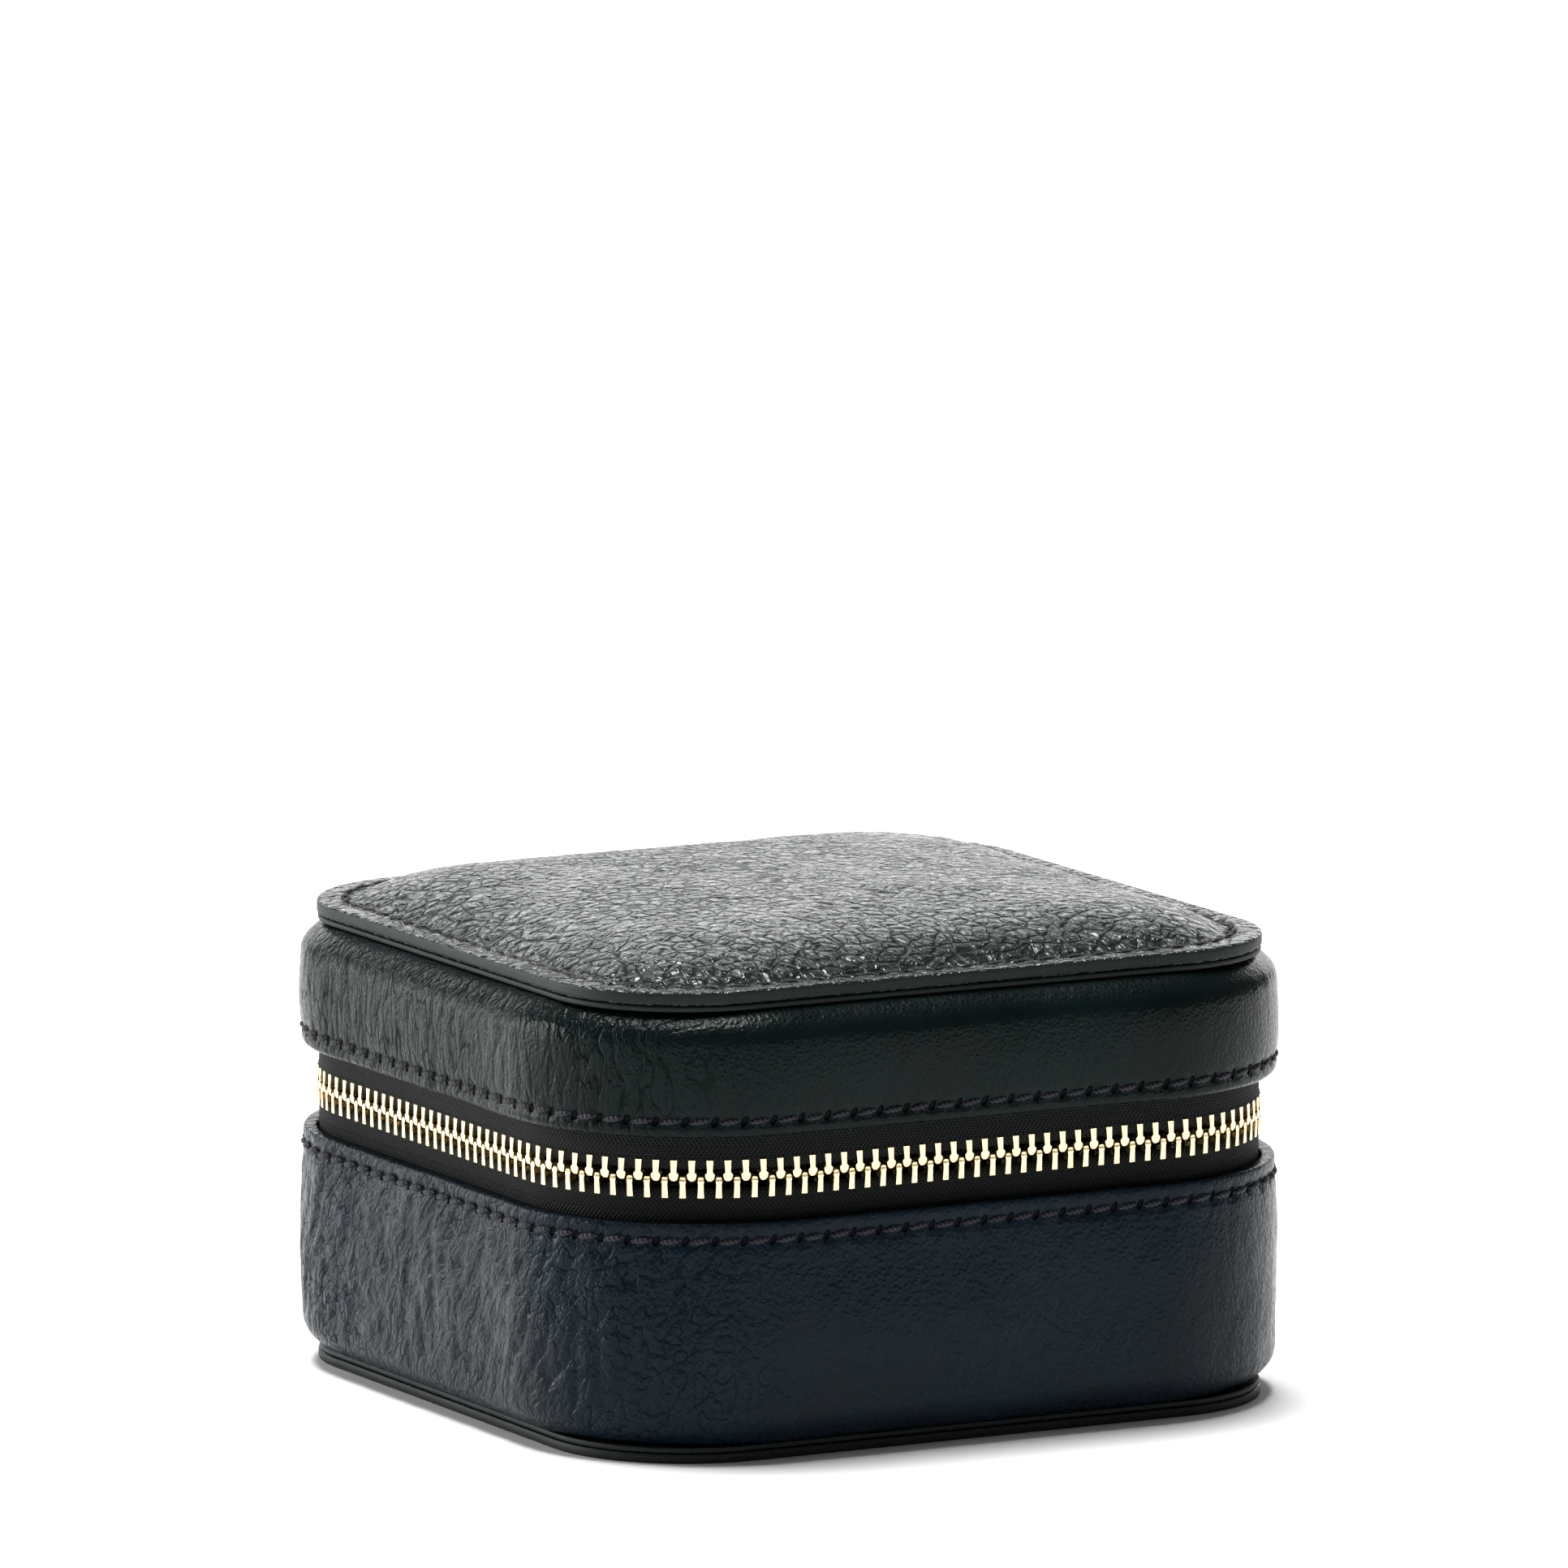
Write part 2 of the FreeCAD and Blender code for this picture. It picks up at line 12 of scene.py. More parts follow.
import bmesh
import bpy
from mathutils import Matrix, Vector, noise
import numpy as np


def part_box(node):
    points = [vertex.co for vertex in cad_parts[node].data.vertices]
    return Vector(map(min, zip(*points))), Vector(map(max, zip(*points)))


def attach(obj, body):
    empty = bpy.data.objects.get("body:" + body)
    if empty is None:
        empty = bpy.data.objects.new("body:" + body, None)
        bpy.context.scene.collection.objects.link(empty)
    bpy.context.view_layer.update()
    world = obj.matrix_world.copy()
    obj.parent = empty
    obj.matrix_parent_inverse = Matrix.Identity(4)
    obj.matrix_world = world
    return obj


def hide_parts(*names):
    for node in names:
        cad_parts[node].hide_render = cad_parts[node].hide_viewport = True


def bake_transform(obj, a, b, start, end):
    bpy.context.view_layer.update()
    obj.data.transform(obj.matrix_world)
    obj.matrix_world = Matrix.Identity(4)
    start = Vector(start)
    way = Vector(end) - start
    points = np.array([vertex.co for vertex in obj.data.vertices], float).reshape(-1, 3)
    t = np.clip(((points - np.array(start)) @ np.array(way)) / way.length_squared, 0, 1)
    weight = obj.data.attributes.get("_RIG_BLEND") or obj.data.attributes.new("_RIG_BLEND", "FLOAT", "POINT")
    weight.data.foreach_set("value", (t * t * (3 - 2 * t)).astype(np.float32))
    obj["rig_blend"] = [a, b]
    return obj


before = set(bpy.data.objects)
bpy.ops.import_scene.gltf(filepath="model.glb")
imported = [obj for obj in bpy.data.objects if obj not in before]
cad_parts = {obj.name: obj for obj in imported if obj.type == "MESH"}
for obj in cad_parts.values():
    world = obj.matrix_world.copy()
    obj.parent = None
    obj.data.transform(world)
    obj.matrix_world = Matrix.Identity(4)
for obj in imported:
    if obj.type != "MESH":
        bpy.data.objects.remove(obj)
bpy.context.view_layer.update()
mm = 0.001

# %% [markdown]
# ## Sizes
#
# Heights and widths come from the frame's own nodes, so the looks can't drift from the parts;
# radii and pitches are written where they are first used.  The two walls share one outline and
# the two panels share another: each is a square with rounded corners.

# %% Read the sizes
base_low, base_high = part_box("base_wall_leather")
lid_low, lid_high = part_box("lid_wall_leather")
panel_low, panel_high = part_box("lid_panel_leather")
rim_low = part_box("rim_thread")[0]
welt_low, welt_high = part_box("lid_panel_welt")
bottom_low, bottom_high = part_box("bottom_panel_leather")
sole_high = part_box("bottom_panel_welt")[1]
seat_low, seat_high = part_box("base_seam_thread")
lid_seam_low, lid_seam_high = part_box("lid_seam_thread")
tape_low, tape_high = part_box("lower_zip_tape")
upper_low, upper_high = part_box("upper_zip_tape")
teeth_low, teeth_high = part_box("lower_zip_teeth")
teeth_up_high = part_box("upper_zip_teeth")[1]
spine_low, spine_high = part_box("spine_lower")
spine_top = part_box("spine_upper")[1]

rim_top = rim_low.z - 0.02 * mm
base_seam = (seat_low.z + seat_high.z) / 2
lid_seam = (lid_seam_low.z + lid_seam_high.z) / 2
chain_z = (teeth_low.z + teeth_up_high.z) / 2
print("rim at", round(rim_top / mm, 2), "mm, zip at", round(chain_z / mm, 2), "mm")


# %% [markdown]
# ## One outline for everything
#
# A wall, a seam, a tape and a row of teeth all follow the same kind of path, so one small
# class answers the questions they share: where is the point this far along and this far
# out, and how far along is a given point.  Distances run from the middle of the front, to
# the right, round the back and home along the left side.

# %% The rounded square
class Outline:
    """A square with rounded corners, seen from above."""

    def __init__(self, half, radius):
        self.half = half
        self.radius = radius
        self.centre = half - radius
        self.flat = 2 * self.centre
        self.quarter = self.flat + math.pi / 2 * radius
        self.length = 4 * self.quarter

    def at(self, along, out=0.0, z=0.0):
        """The point this far along and this far outside, and the way the outline faces there."""
        side, rest = divmod((along + self.centre) % self.length, self.quarter)
        turn = max(0.0, rest - self.flat) / self.radius
        foot = Vector((min(rest, self.flat) - self.centre, -self.centre, 0))
        facing = Vector((math.sin(turn), -math.cos(turn), 0))
        spin = Matrix.Rotation(side * math.pi / 2, 3, "Z")
        facing = spin @ facing
        return spin @ foot + facing * (self.radius + out) + Vector((0, 0, z)), facing

    def foot(self, point):
        """The nearest point of the inner square, and the way out from it."""
        c = self.centre
        near = Vector((max(-c, min(c, point.x)), max(-c, min(c, point.y)), 0))
        way = Vector((point.x, point.y, 0)) - near
        return near, way.normalized(), way.length - self.radius

    def along(self, point):
        """How far along the outline a point lies."""
        near, way, _ = self.foot(point)
        angle = math.atan2(way.x, -way.y) % (2 * math.pi)
        side = int(angle / (math.pi / 2) + 1e-6) % 4
        turn = angle - side * math.pi / 2
        if angle > 2 * math.pi - 1e-6:
            side, turn = 0, 0.0
        local = Matrix.Rotation(-side * math.pi / 2, 3, "Z") @ near
        if turn < 1e-5:
            return (side * self.quarter + local.x) % self.length
        return (side * self.quarter + self.centre + turn * self.radius) % self.length

    def inset(self, depth):
        """The same outline, this much smaller all round."""
        return Outline(self.half - depth, self.radius - depth)


wall_line = Outline(base_high.x, 28 * mm)
panel_line = Outline(bottom_high.x, 19.5 * mm)
chain_line = wall_line.inset(2.3 * mm)
seam_inset = 3.7 * mm
seam_line = panel_line.inset(seam_inset)
stitch_pitch = 3.9 * mm
wall_stitches = round(wall_line.length / stitch_pitch)
wall_pitch = wall_line.length / wall_stitches
rim_stitches = round(seam_line.length / stitch_pitch)
rim_pitch = seam_line.length / rim_stitches
print("round the wall:", round(wall_line.length / mm), "mm")

# %% [markdown]
# ## From a profile to a shell
#
# A leather wall is one profile carried round the outline, like a moulding.  A ring could be
# spun in four pieces and joined, or a curve could be bevelled.  Here one loop of edges is
# drawn, extruded along the profile row by row, and closed on itself, because rows of even
# faces take wrinkles well.  Each point then keeps how far along and how high it sits.


# %% Loops, shells and pieces
def smooth_step(low, high, value):
    """0 below low, 1 above high, and an even curve between."""
    t = max(0.0, min(1.0, (value - low) / (high - low)))
    return t * t * (3 - 2 * t)


def first_loop(bm, outline, step):
    """One closed loop of edges of about this length, on the outline."""
    bmesh.ops.create_grid(bm, x_segments=1, y_segments=1, size=outline.half)
    bends = max(4, round(math.pi / 2 * outline.radius / step))
    bmesh.ops.bevel(
        bm, geom=bm.verts[:], offset=outline.radius, offset_type="OFFSET", segments=bends,
        profile=0.5, affect="VERTICES", material=-1,
    )
    bmesh.ops.delete(bm, geom=bm.faces[:], context="FACES_ONLY")
    long_edges = [e for e in bm.edges if e.calc_length() > outline.flat * 0.9]
    cuts = max(1, round(outline.flat / step)) - 1
    bmesh.ops.subdivide_edges(bm, edges=long_edges, cuts=cuts)
    for vert in bm.verts:
        near, way, _ = outline.foot(vert.co)
        vert.co = near + way * outline.radius


def next_loop(bm, loop):
    """Extrudes a loop of edges and returns the new loop and its points."""
    made = bmesh.ops.extrude_edge_only(bm, edges=loop)["geom"]
    verts = {g for g in made if isinstance(g, bmesh.types.BMVert)}
    edges = [g for g in made if isinstance(g, bmesh.types.BMEdge)
             and g.verts[0] in verts and g.verts[1] in verts]
    return edges, verts


def shell(outline, profile, step, relief=None):
    """A profile of (out, z) points carried round an outline and closed.

    relief gives, for a point, how far it moves out and how far up.
    """
    bm = bmesh.new()
    first_loop(bm, outline, step)
    along = bm.verts.layers.float.new("along")
    run = bm.verts.layers.float.new("run")
    level = bm.verts.layers.float.new("level")
    loop, verts = bm.edges[:], bm.verts[:]
    start = loop[:]
    total = 0.0
    for row, (out, z) in enumerate(profile):
        if row:
            loop, verts = next_loop(bm, loop)
            total += math.dist(profile[row - 1], (out, z))
        for vert in verts:
            near, way, _ = outline.foot(vert.co)
            vert[along] = outline.along(vert.co)
            vert[run] = total
            vert[level] = z
            vert.co = near + way * (outline.radius + out) + Vector((0, 0, z))
    bmesh.ops.bridge_loops(bm, edges=start + loop)
    if relief:
        for vert in bm.verts:
            near, way, out = outline.foot(vert.co)
            push, lift = relief(vert[along], vert.co.z, out, way)
            vert.co += way * push + Vector((0, 0, lift))
    return bm


def unwrap_along(bm, outline, across="run"):
    """A UV map in metres: along the outline, and across it."""
    along = bm.verts.layers.float["along"]
    run = bm.verts.layers.float[across]
    uv = bm.loops.layers.uv.new("cloth")
    for face in bm.faces:
        values = [loop.vert[along] for loop in face.loops]
        wraps = max(values) - min(values) > outline.length / 2
        for loop, value in zip(face.loops, values):
            if wraps and value < outline.length / 2:
                value += outline.length
            loop[uv].uv = (value, loop.vert[run])


def make_piece(bm, name, body, finishes, replaces=(), smooth=True):
    """Turns a bmesh into a piece that rides on a body and takes a finish."""
    bmesh.ops.recalc_face_normals(bm, faces=bm.faces[:])
    mesh = bpy.data.meshes.new(name)
    bm.to_mesh(mesh)
    bm.free()
    mesh.polygons.foreach_set("use_smooth", [smooth] * len(mesh.polygons))
    piece = bpy.data.objects.new(name, mesh)
    bpy.context.scene.collection.objects.link(piece)
    for finish in finishes:
        mesh.materials.append(finish)
    if body:
        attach(piece, body)
    if replaces:
        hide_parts(*replaces)
    print(name, "has", len(mesh.polygons), "faces")
    return piece


def steps(low, high, count):
    """Even values from low to high, both included."""
    return [low + (high - low) * i / count for i in range(count + 1)]


def bend(centre_out, centre_z, radius, start, end, count):
    """Profile points round an arc; angles in degrees from straight out towards up."""
    points = []
    for angle in steps(start, end, count):
        rad = math.radians(angle)
        points.append((centre_out + radius * math.cos(rad), centre_z + radius * math.sin(rad)))
    return points


# %% [markdown]
# ## Shader sums in plain Python
#
# A finish is a graph of nodes, and a graph is hard to read as a list of links.  Wrapping a
# socket in a small class lets a sum be written as a sum: each operator adds one Math node.
# Everything else is added by one method that takes a node's type, its settings and its inputs.


# %% Values and finishes
class Value:
    """One shader socket that can be used in sums."""

    def __init__(self, finish, socket):
        self.finish = finish
        self.socket = socket

    def sum(self, operation, first, second=0.0):
        return self.finish.add("ShaderNodeMath", {"operation": operation}, {0: first, 1: second})

    def __add__(self, other):
        return self.sum("ADD", self, other)

    __radd__ = __add__

    def __mul__(self, other):
        return self.sum("MULTIPLY", self, other)

    __rmul__ = __mul__

    def __sub__(self, other):
        return self.sum("SUBTRACT", self, other)

    def __rsub__(self, other):
        return self.sum("SUBTRACT", other, self)

    def __pow__(self, other):
        return self.sum("POWER", self, other)

    def most(self, other):
        return self.sum("MAXIMUM", self, other)

    def wave(self):
        return self.sum("SINE", self)

    def positive(self):
        return self.sum("ABSOLUTE", self)

    def between(self, low, high):
        """0 at low and below, 1 at high and above."""
        return self.finish.add(
            "ShaderNodeMapRange", {"interpolation_type": "SMOOTHSTEP"},
            {"Value": self, "From Min": low, "From Max": high},
        )


class Finish:
    """A material made of nodes round one Principled shader."""

    def __init__(self, name, **constants):
        self.material = bpy.data.materials.new(name)
        self.material.use_nodes = True
        self.tree = self.material.node_tree
        self.shader = self.tree.nodes["Principled BSDF"]
        for socket, value in constants.items():
            self.shader.inputs[socket.replace("_", " ")].default_value = value

    def add(self, kind, settings, inputs, output=0):
        """Adds a node and returns one of its outputs."""
        node = self.tree.nodes.new(kind)
        for key, value in settings.items():
            setattr(node, key, value)
        for key, value in inputs.items():
            if isinstance(value, Value):
                self.tree.links.new(value.socket, node.inputs[key])
            else:
                node.inputs[key].default_value = value
        return Value(self, node.outputs[output])

    def place(self, stretch=(1, 1, 1), turn=(0, 0, 0), source="Object"):
        """Coordinates on the piece, in metres.  Patterns made from them are this much longer."""
        kind = {"Object": "ShaderNodeTexCoord", "UV": "ShaderNodeUVMap"}[source]
        spot = self.add(kind, {}, {}, "Object" if source == "Object" else "UV")
        return self.add("ShaderNodeMapping", {"vector_type": "TEXTURE"}, {
            "Vector": spot, "Scale": stretch, "Rotation": tuple(map(math.radians, turn)),
        })

    def part(self, vector, index):
        """One of the three numbers of a vector."""
        return self.add("ShaderNodeSeparateXYZ", {}, {0: vector}, index)

    def cloud(self, place, scale, detail=3.0, rough=0.5):
        """Soft noise from 0 to 1."""
        return self.add("ShaderNodeTexNoise", {}, {
            "Vector": place, "Scale": scale, "Detail": detail, "Roughness": rough,
        })

    def cells(self, place, scale, feature="DISTANCE_TO_EDGE", jitter=1.0):
        """Pebbles: 0 along the creases and more towards each pebble's middle."""
        return self.add("ShaderNodeTexVoronoi", {"feature": feature}, {
            "Vector": place, "Scale": scale, "Randomness": jitter,
        })

    def blend(self, share, first, second):
        """Mixes two colours."""
        return self.add("ShaderNodeMix", {"data_type": "RGBA"}, {
            0: share, 6: first, 7: second,
        }, 2)

    def drive(self, **values):
        """Links values to the shader's own sockets."""
        for socket, value in values.items():
            self.tree.links.new(value.socket, self.shader.inputs[socket.replace("_", " ")])

    def bump(self, height, depth):
        """Relief whose height is given as a share of depth, in metres."""
        self.relief = self.add("ShaderNodeBump", {}, {"Height": height, "Distance": depth})
        self.tree.links.new(self.relief.socket, self.shader.inputs["Normal"])

    def cover(self, share, **constants):
        """Shows a second shader, with the same relief, where share is 1."""
        other = self.tree.nodes.new("ShaderNodeBsdfPrincipled")
        for socket, value in constants.items():
            other.inputs[socket.replace("_", " ")].default_value = value
        self.tree.links.new(self.relief.socket, other.inputs["Normal"])
        mix = self.tree.nodes.new("ShaderNodeMixShader")
        self.tree.links.new(share.socket, mix.inputs[0])
        self.tree.links.new(self.shader.outputs[0], mix.inputs[1])
        self.tree.links.new(other.outputs[0], mix.inputs[2])
        self.tree.links.new(mix.outputs[0], self.tree.nodes["Material Output"].inputs[0])


# %% [markdown]
# ## Leather
#
# The case is black calf leather, softly polished, with a touch of blue in the shadows.  Its
# top is pebbled, because the skin there was left soft over the padding.  The walls are pulled
# tight, so their grain is finer and shows pores and hair-fine wrinkles.  One recipe makes
# both.  The top's pebbles are Voronoi cells bent by noise, and the walls' wrinkles are ridges
# of soft noise, strongest on the left side.  Both have pores of small cells and a little
# variation in the polish.  The relief goes through bump, and larger folds are in the mesh.
# A second shader also paints the creases and the needle holes darker and matte: the
# darkening is painted shade.


# %% The leather recipe
def needle_holes(f, seam, pitch, lean):
    """1 in the holes between stitches, from a UV map of how far along and how far across."""
    spot = f.place(source="UV")
    across = f.part(spot, 1) - seam
    along = (f.part(spot, 0) + across * lean) * (1 / pitch) + 0.5
    gap = (along.sum("FRACT", along) - 0.5) * pitch
    far = (gap * gap * 2.2 + across * across) ** 0.5
    row = 1 - across.positive().between(0.35 * mm, 1.1 * mm)
    return 1 - far.between(0.42 * mm, 0.74 * mm), row


def leather(name, pebble, depth, tint, sheen, rough, gloss, holes, stretch=(1, 1, 1),
            turn=(0, 0, 0), wide=0.10, dome=0.5, grain=0.55 * mm, grain_depth=0.25, crease_matte_and_shade=0.6,
            calm=None):
    """Black leather, with painted shade in its creases and needle holes.  pebble is the creases' spacing and
    depth the relief, both in metres.
    """
    f = Finish(name, Specular_IOR_Level=gloss, IOR=1.5, Specular_Tint=sheen + (1,))
    place = f.place(stretch, turn)
    warp = f.add("ShaderNodeTexNoise", {"noise_dimensions": "3D"}, {
        "Vector": place, "Scale": 0.35 / pebble, "Detail": 1.0,
    }, "Color")
    bent = f.add("ShaderNodeVectorMath", {"operation": "MULTIPLY_ADD"}, {
        0: warp, 1: (1.0 * pebble,) * 3, 2: place,
    })
    patch = f.cloud(f.place(), 0.06 / mm, 3.0)
    if calm:
        first = (f.cloud(bent, 0.75 / pebble, 1.0, 0.4) - 0.5).positive()
        second = (f.cloud(bent, 1.7 / pebble, 1.0, 0.4) - 0.5).positive()
        swells = first.between(0.0, 0.16) * dome + second.between(0.0, 0.2) * dome * 0.5
        crease = (1 - first.between(0.0, wide)).most((1 - second.between(0.0, wide)) * 0.6)
        crease = crease * patch.between(0.30, 0.60)
    else:
        first = f.cells(bent, 1 / pebble, jitter=0.95)
        second = f.cells(bent, 1.9 / pebble)
        swells = first.between(0.0, 0.5) * dome
        crease = (1 - first.between(0.0, wide)).most((1 - second.between(0.0, wide)) * 0.5)
        crease = crease * (patch.between(0.35, 0.6) * 0.5 + 0.5)
    pores = f.cells(f.place(), 1 / grain, "F1").between(0.1, 0.7)
    strong = 1.0
    if calm:
        strong = calm[2] + (1 - calm[2]) * f.part(f.place(), 0).between(calm[0], calm[1])
    height = (swells - crease) * strong - pores * grain_depth
    shade = crease * strong
    polish = rough + (patch - 0.5) * 0.16 + (pores - 0.5) * 0.16
    if holes:
        hole, row = needle_holes(f, *holes)
        height = height - hole * (0.5 * mm / depth)
        # painted shade: the needle holes are painted as dark as the creases
        shade = shade.most(hole)
        polish = polish + row * 0.08
    f.bump(height, depth)
    # painted shade: through the cover shader, creases and needle holes get this darker colour and a matte
    # finish
    dark = tuple(0.4 * c for c in tint) + (1,)
    light = tuple(1.7 * c for c in tint) + (1,)
    f.drive(Base_Color=f.blend(patch.between(0.3, 0.7), tint + (1,), light), Roughness=polish)
    f.cover(shade * crease_matte_and_shade, Base_Color=dark, Specular_IOR_Level=0.04, Roughness=0.7)
    return f.material


top_leather = leather(
    "leather_top", 2.3 * mm, 0.20 * mm, (0.0070, 0.0105, 0.0095), (0.93, 1.0, 0.98),
    0.21, 0.45, (seam_inset, rim_pitch, 0.35), wide=0.13, dome=1.0, grain=0.9 * mm,
    grain_depth=0.12, crease_matte_and_shade=0.75,
)
lid_leather = leather(
    "leather_lid", 1.7 * mm, 0.065 * mm, (0.0012, 0.0034, 0.0034), (0.88, 1.0, 0.97),
    0.25, 0.10, (lid_seam, wall_pitch, -0.35), stretch=(1, 1, 3.0), wide=0.035, dome=0.9,
    grain=0.6 * mm, grain_depth=0.50, crease_matte_and_shade=0.75, calm=(-0.030, -0.052, 0.20),
)
base_leather = leather(
    "leather_base", 1.5 * mm, 0.075 * mm, (0.0020, 0.0052, 0.0088), (0.84, 0.95, 1.0),
    0.26, 0.10, (base_seam, wall_pitch, -0.35), stretch=(1, 1, 1.9), turn=(34, 0, 0),
    wide=0.035, dome=0.9, grain=0.7 * mm, grain_depth=0.45, crease_matte_and_shade=0.8,
    calm=(-0.024, -0.052, 0.25),
)
trim_leather = leather(
    "leather_trim", 1.2 * mm, 0.05 * mm, (0.0030, 0.0050, 0.0058), (0.9, 1.0, 1.0),
    0.42, 0.14, None,
)


# %% [markdown]
# ## Painted edges
#
# Where a panel is cut, the edge is sanded and painted, so it is plainer and duller than the
# face.  Under the paint the two layers of leather still show as faint lines along the edge.


# %% The painted edge
def painted_edge(name, colour):
    """Dull edge paint with faint layers and a few knocks."""
    f = Finish(name, Specular_IOR_Level=0.25)
    place = f.place((4, 4, 1))
    layers = f.cloud(place, 1.4 / mm, 3.0, 0.6)
    knocks = f.cloud(f.place(), 0.9 / mm, 3.0, 0.7)
    f.bump(layers * 0.7 + knocks * 0.5, 0.05 * mm)
    worn = tuple(2.1 * c for c in colour) + (1,)
    f.drive(
        Base_Color=f.blend(knocks.between(0.56, 0.78) * 0.7, colour + (1,), worn),
        Roughness=0.50 + layers * 0.14,
    )
    return f.material


edge_paint = painted_edge("edge_paint", (0.0042, 0.0068, 0.0072))

# %% [markdown]
# ## Thread
#
# The seams are sewn with thick waxed thread, near black with a hint of purple.  It is twisted,
# so fine slanting lines run across each stitch.  The raised plies are painted lighter than the
# grooves between them, which is painted highlight; the fluff adds a random tone.

# %% Waxed thread
def waxed_thread():
    f = Finish("waxed_thread", Specular_IOR_Level=0.3)
    spot = f.place(source="UV")
    plies = ((f.part(spot, 0) * (1 / (0.62 * mm)) + f.part(spot, 1)) * (2 * math.pi)).wave()
    fluff = f.cloud(f.place(), 4.5 / mm, 2.0, 0.6)
    f.bump(plies * 0.5 + fluff * 0.6, 0.16 * mm)
    # painted highlight: the colour is lighter on the raised plies; the fluff noise varies the tone at random
    f.drive(
        Base_Color=f.blend((plies * 0.35 + fluff * 0.6).between(-0.1, 0.7),
                           (0.0025, 0.0022, 0.0032, 1), (0.020, 0.017, 0.027, 1)),
        Roughness=0.42 + fluff * 0.3,
    )
    return f.material


thread_finish = waxed_thread()

# %% [markdown]
# ## Brass teeth
#
# The teeth are stamped from pale brass and tumbled bright.  They are nearly mirrors, so most of
# what they show is the room; small dents and a slightly darker tone in the hollows
# keep them from looking like chrome.


# %% The metals
def metal(name, colour, rough):
    """Polished metal with tumbling marks."""
    f = Finish(name, Metallic=1.0)
    place = f.place()
    marks = f.cloud(place, 1.6 / mm, 3.0, 0.6)
    f.bump(marks, 0.035 * mm)
    worn = tuple(0.62 * c for c in colour) + (1,)
    f.drive(
        Base_Color=f.blend(marks.between(0.58, 0.85), colour + (1,), worn),
        Roughness=rough + (marks - 0.5) * 0.12,
    )
    return f.material


brass = metal("pale_brass", (0.93, 0.74, 0.42), 0.24)

# %% [markdown]
# ## Woven tape
#
# Zip tape is a herringbone twill: ridges of thread slant one way, then the other.  The
# tape's UV map runs in metres along the zip and up the tape, so the slant can be drawn
# with two sine waves and never stretches round the corners.  The raised ridges are painted
# paler than the grooves, which is painted highlight; the fluff adds a random tone.


# %% Tape
def woven(name, colour, pitch, row):
    """Twill whose ridges slant one way, then the other, in rows this tall, with painted highlight on the
    ridges.
    """
    f = Finish(name, Specular_IOR_Level=0.12)
    spot = f.place(source="UV")
    along, across = f.part(spot, 0), f.part(spot, 1)
    way = (across * (math.pi / row)).wave().between(-0.08, 0.08) * 2 - 1
    ridges = ((along + across * way * 0.8) * (2 * math.pi / pitch)).wave()
    picks = (across * (2 * math.pi / (0.36 * mm))).wave()
    fluff = f.cloud(f.place(), 3.5 / mm, 2.0)
    height = ridges * 0.40 + picks * 0.20 + fluff * 0.35
    f.bump(height, 0.12 * mm)
    # painted highlight: the raised ridges and picks are painted pale, and the grooves stay dark; the fluff
    # varies the tone at random
    pale = tuple(9 * c for c in colour) + (1,)
    f.drive(
        Base_Color=f.blend((ridges * 0.35 + picks * 0.15 + fluff * 0.6).between(0.0, 0.9),
                           colour + (1,), pale),
        Roughness=0.62 + fluff * 0.2,
    )
    return f.material


tape_finish = woven("tape_twill", (0.0014, 0.0017, 0.0017), 0.62 * mm, 1.5 * mm)


# %% [markdown]
# ## Lining, board and mirror
#
# The inside is lined with a brushed microfibre the colour of charcoal.  Its pile catches the
# light at the edges, which is what sheen is for.


# %% Inside finishes
def brushed(name, colour):
    """Short pile with soft marks where it has been stroked."""
    f = Finish(name, Specular_IOR_Level=0.1, Sheen_Weight=0.45, Sheen_Roughness=0.4)
    pile = f.cloud(f.place(), 4.5 / mm, 3.0, 0.7)
    stroke = f.cloud(f.place((1, 2, 1)), 0.07 / mm, 3.0)
    f.bump(pile, 0.12 * mm)
    pale = tuple(1.7 * c for c in colour) + (1,)
    f.drive(
        Base_Color=f.blend((pile * 0.5 + stroke * 0.6).between(0.35, 0.8), colour + (1,), pale),
        Roughness=0.86 + pile * 0.1,
    )
    return f.material


def pressed_board(name, colour):
    """Greyboard: pressed paper with flecks."""
    f = Finish(name, Specular_IOR_Level=0.2)
    fibre = f.cloud(f.place(), 1.2 / mm, 4.0, 0.7)
    f.bump(fibre, 0.05 * mm)
    dark = tuple(0.6 * c for c in colour) + (1,)
    f.drive(Base_Color=f.blend(fibre.between(0.5, 0.75), colour + (1,), dark),
            Roughness=0.85 + fibre * 0.1)
    return f.material


def silvered(name):
    """A mirror with faint haze."""
    f = Finish(name, Metallic=1.0)
    haze = f.cloud(f.place(), 0.12 / mm, 3.0)
    f.drive(Base_Color=f.blend(haze, (0.86, 0.87, 0.88, 1), (0.93, 0.94, 0.95, 1)),
            Roughness=0.02 + haze * 0.03)
    return f.material


lining_finish = brushed("brushed_lining", (0.050, 0.047, 0.050))
pad_finish = brushed("brushed_rolls", (0.062, 0.058, 0.060))
board_finish = pressed_board("greyboard", (0.36, 0.31, 0.25))
foam_finish = pressed_board("foam", (0.70, 0.66, 0.52))
mirror_finish = silvered("mirror_glass")

carried = {
    "base_wall_board": board_finish, "base_floor_board": board_finish,
    "lid_wall_board": board_finish, "lid_top_board": board_finish,
    "base_floor_lining": lining_finish,
    "lid_top_lining": lining_finish,
    "zip_end_stops": brass, "slider": brass, "pull_link": brass,
    "lid_mirror": mirror_finish, "lid_mirror_frame": trim_leather,
    "pull_tab": trim_leather,
    "divider_left": lining_finish, "divider_right": lining_finish,
    "divider_cross": lining_finish, "divider_keeper": lining_finish,
    "lift_out_divider": lining_finish,
}
for node, finish in carried.items():
    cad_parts[node].data.materials.clear()
    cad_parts[node].data.materials.append(finish)
print("finishes on", len(carried), "carried nodes")

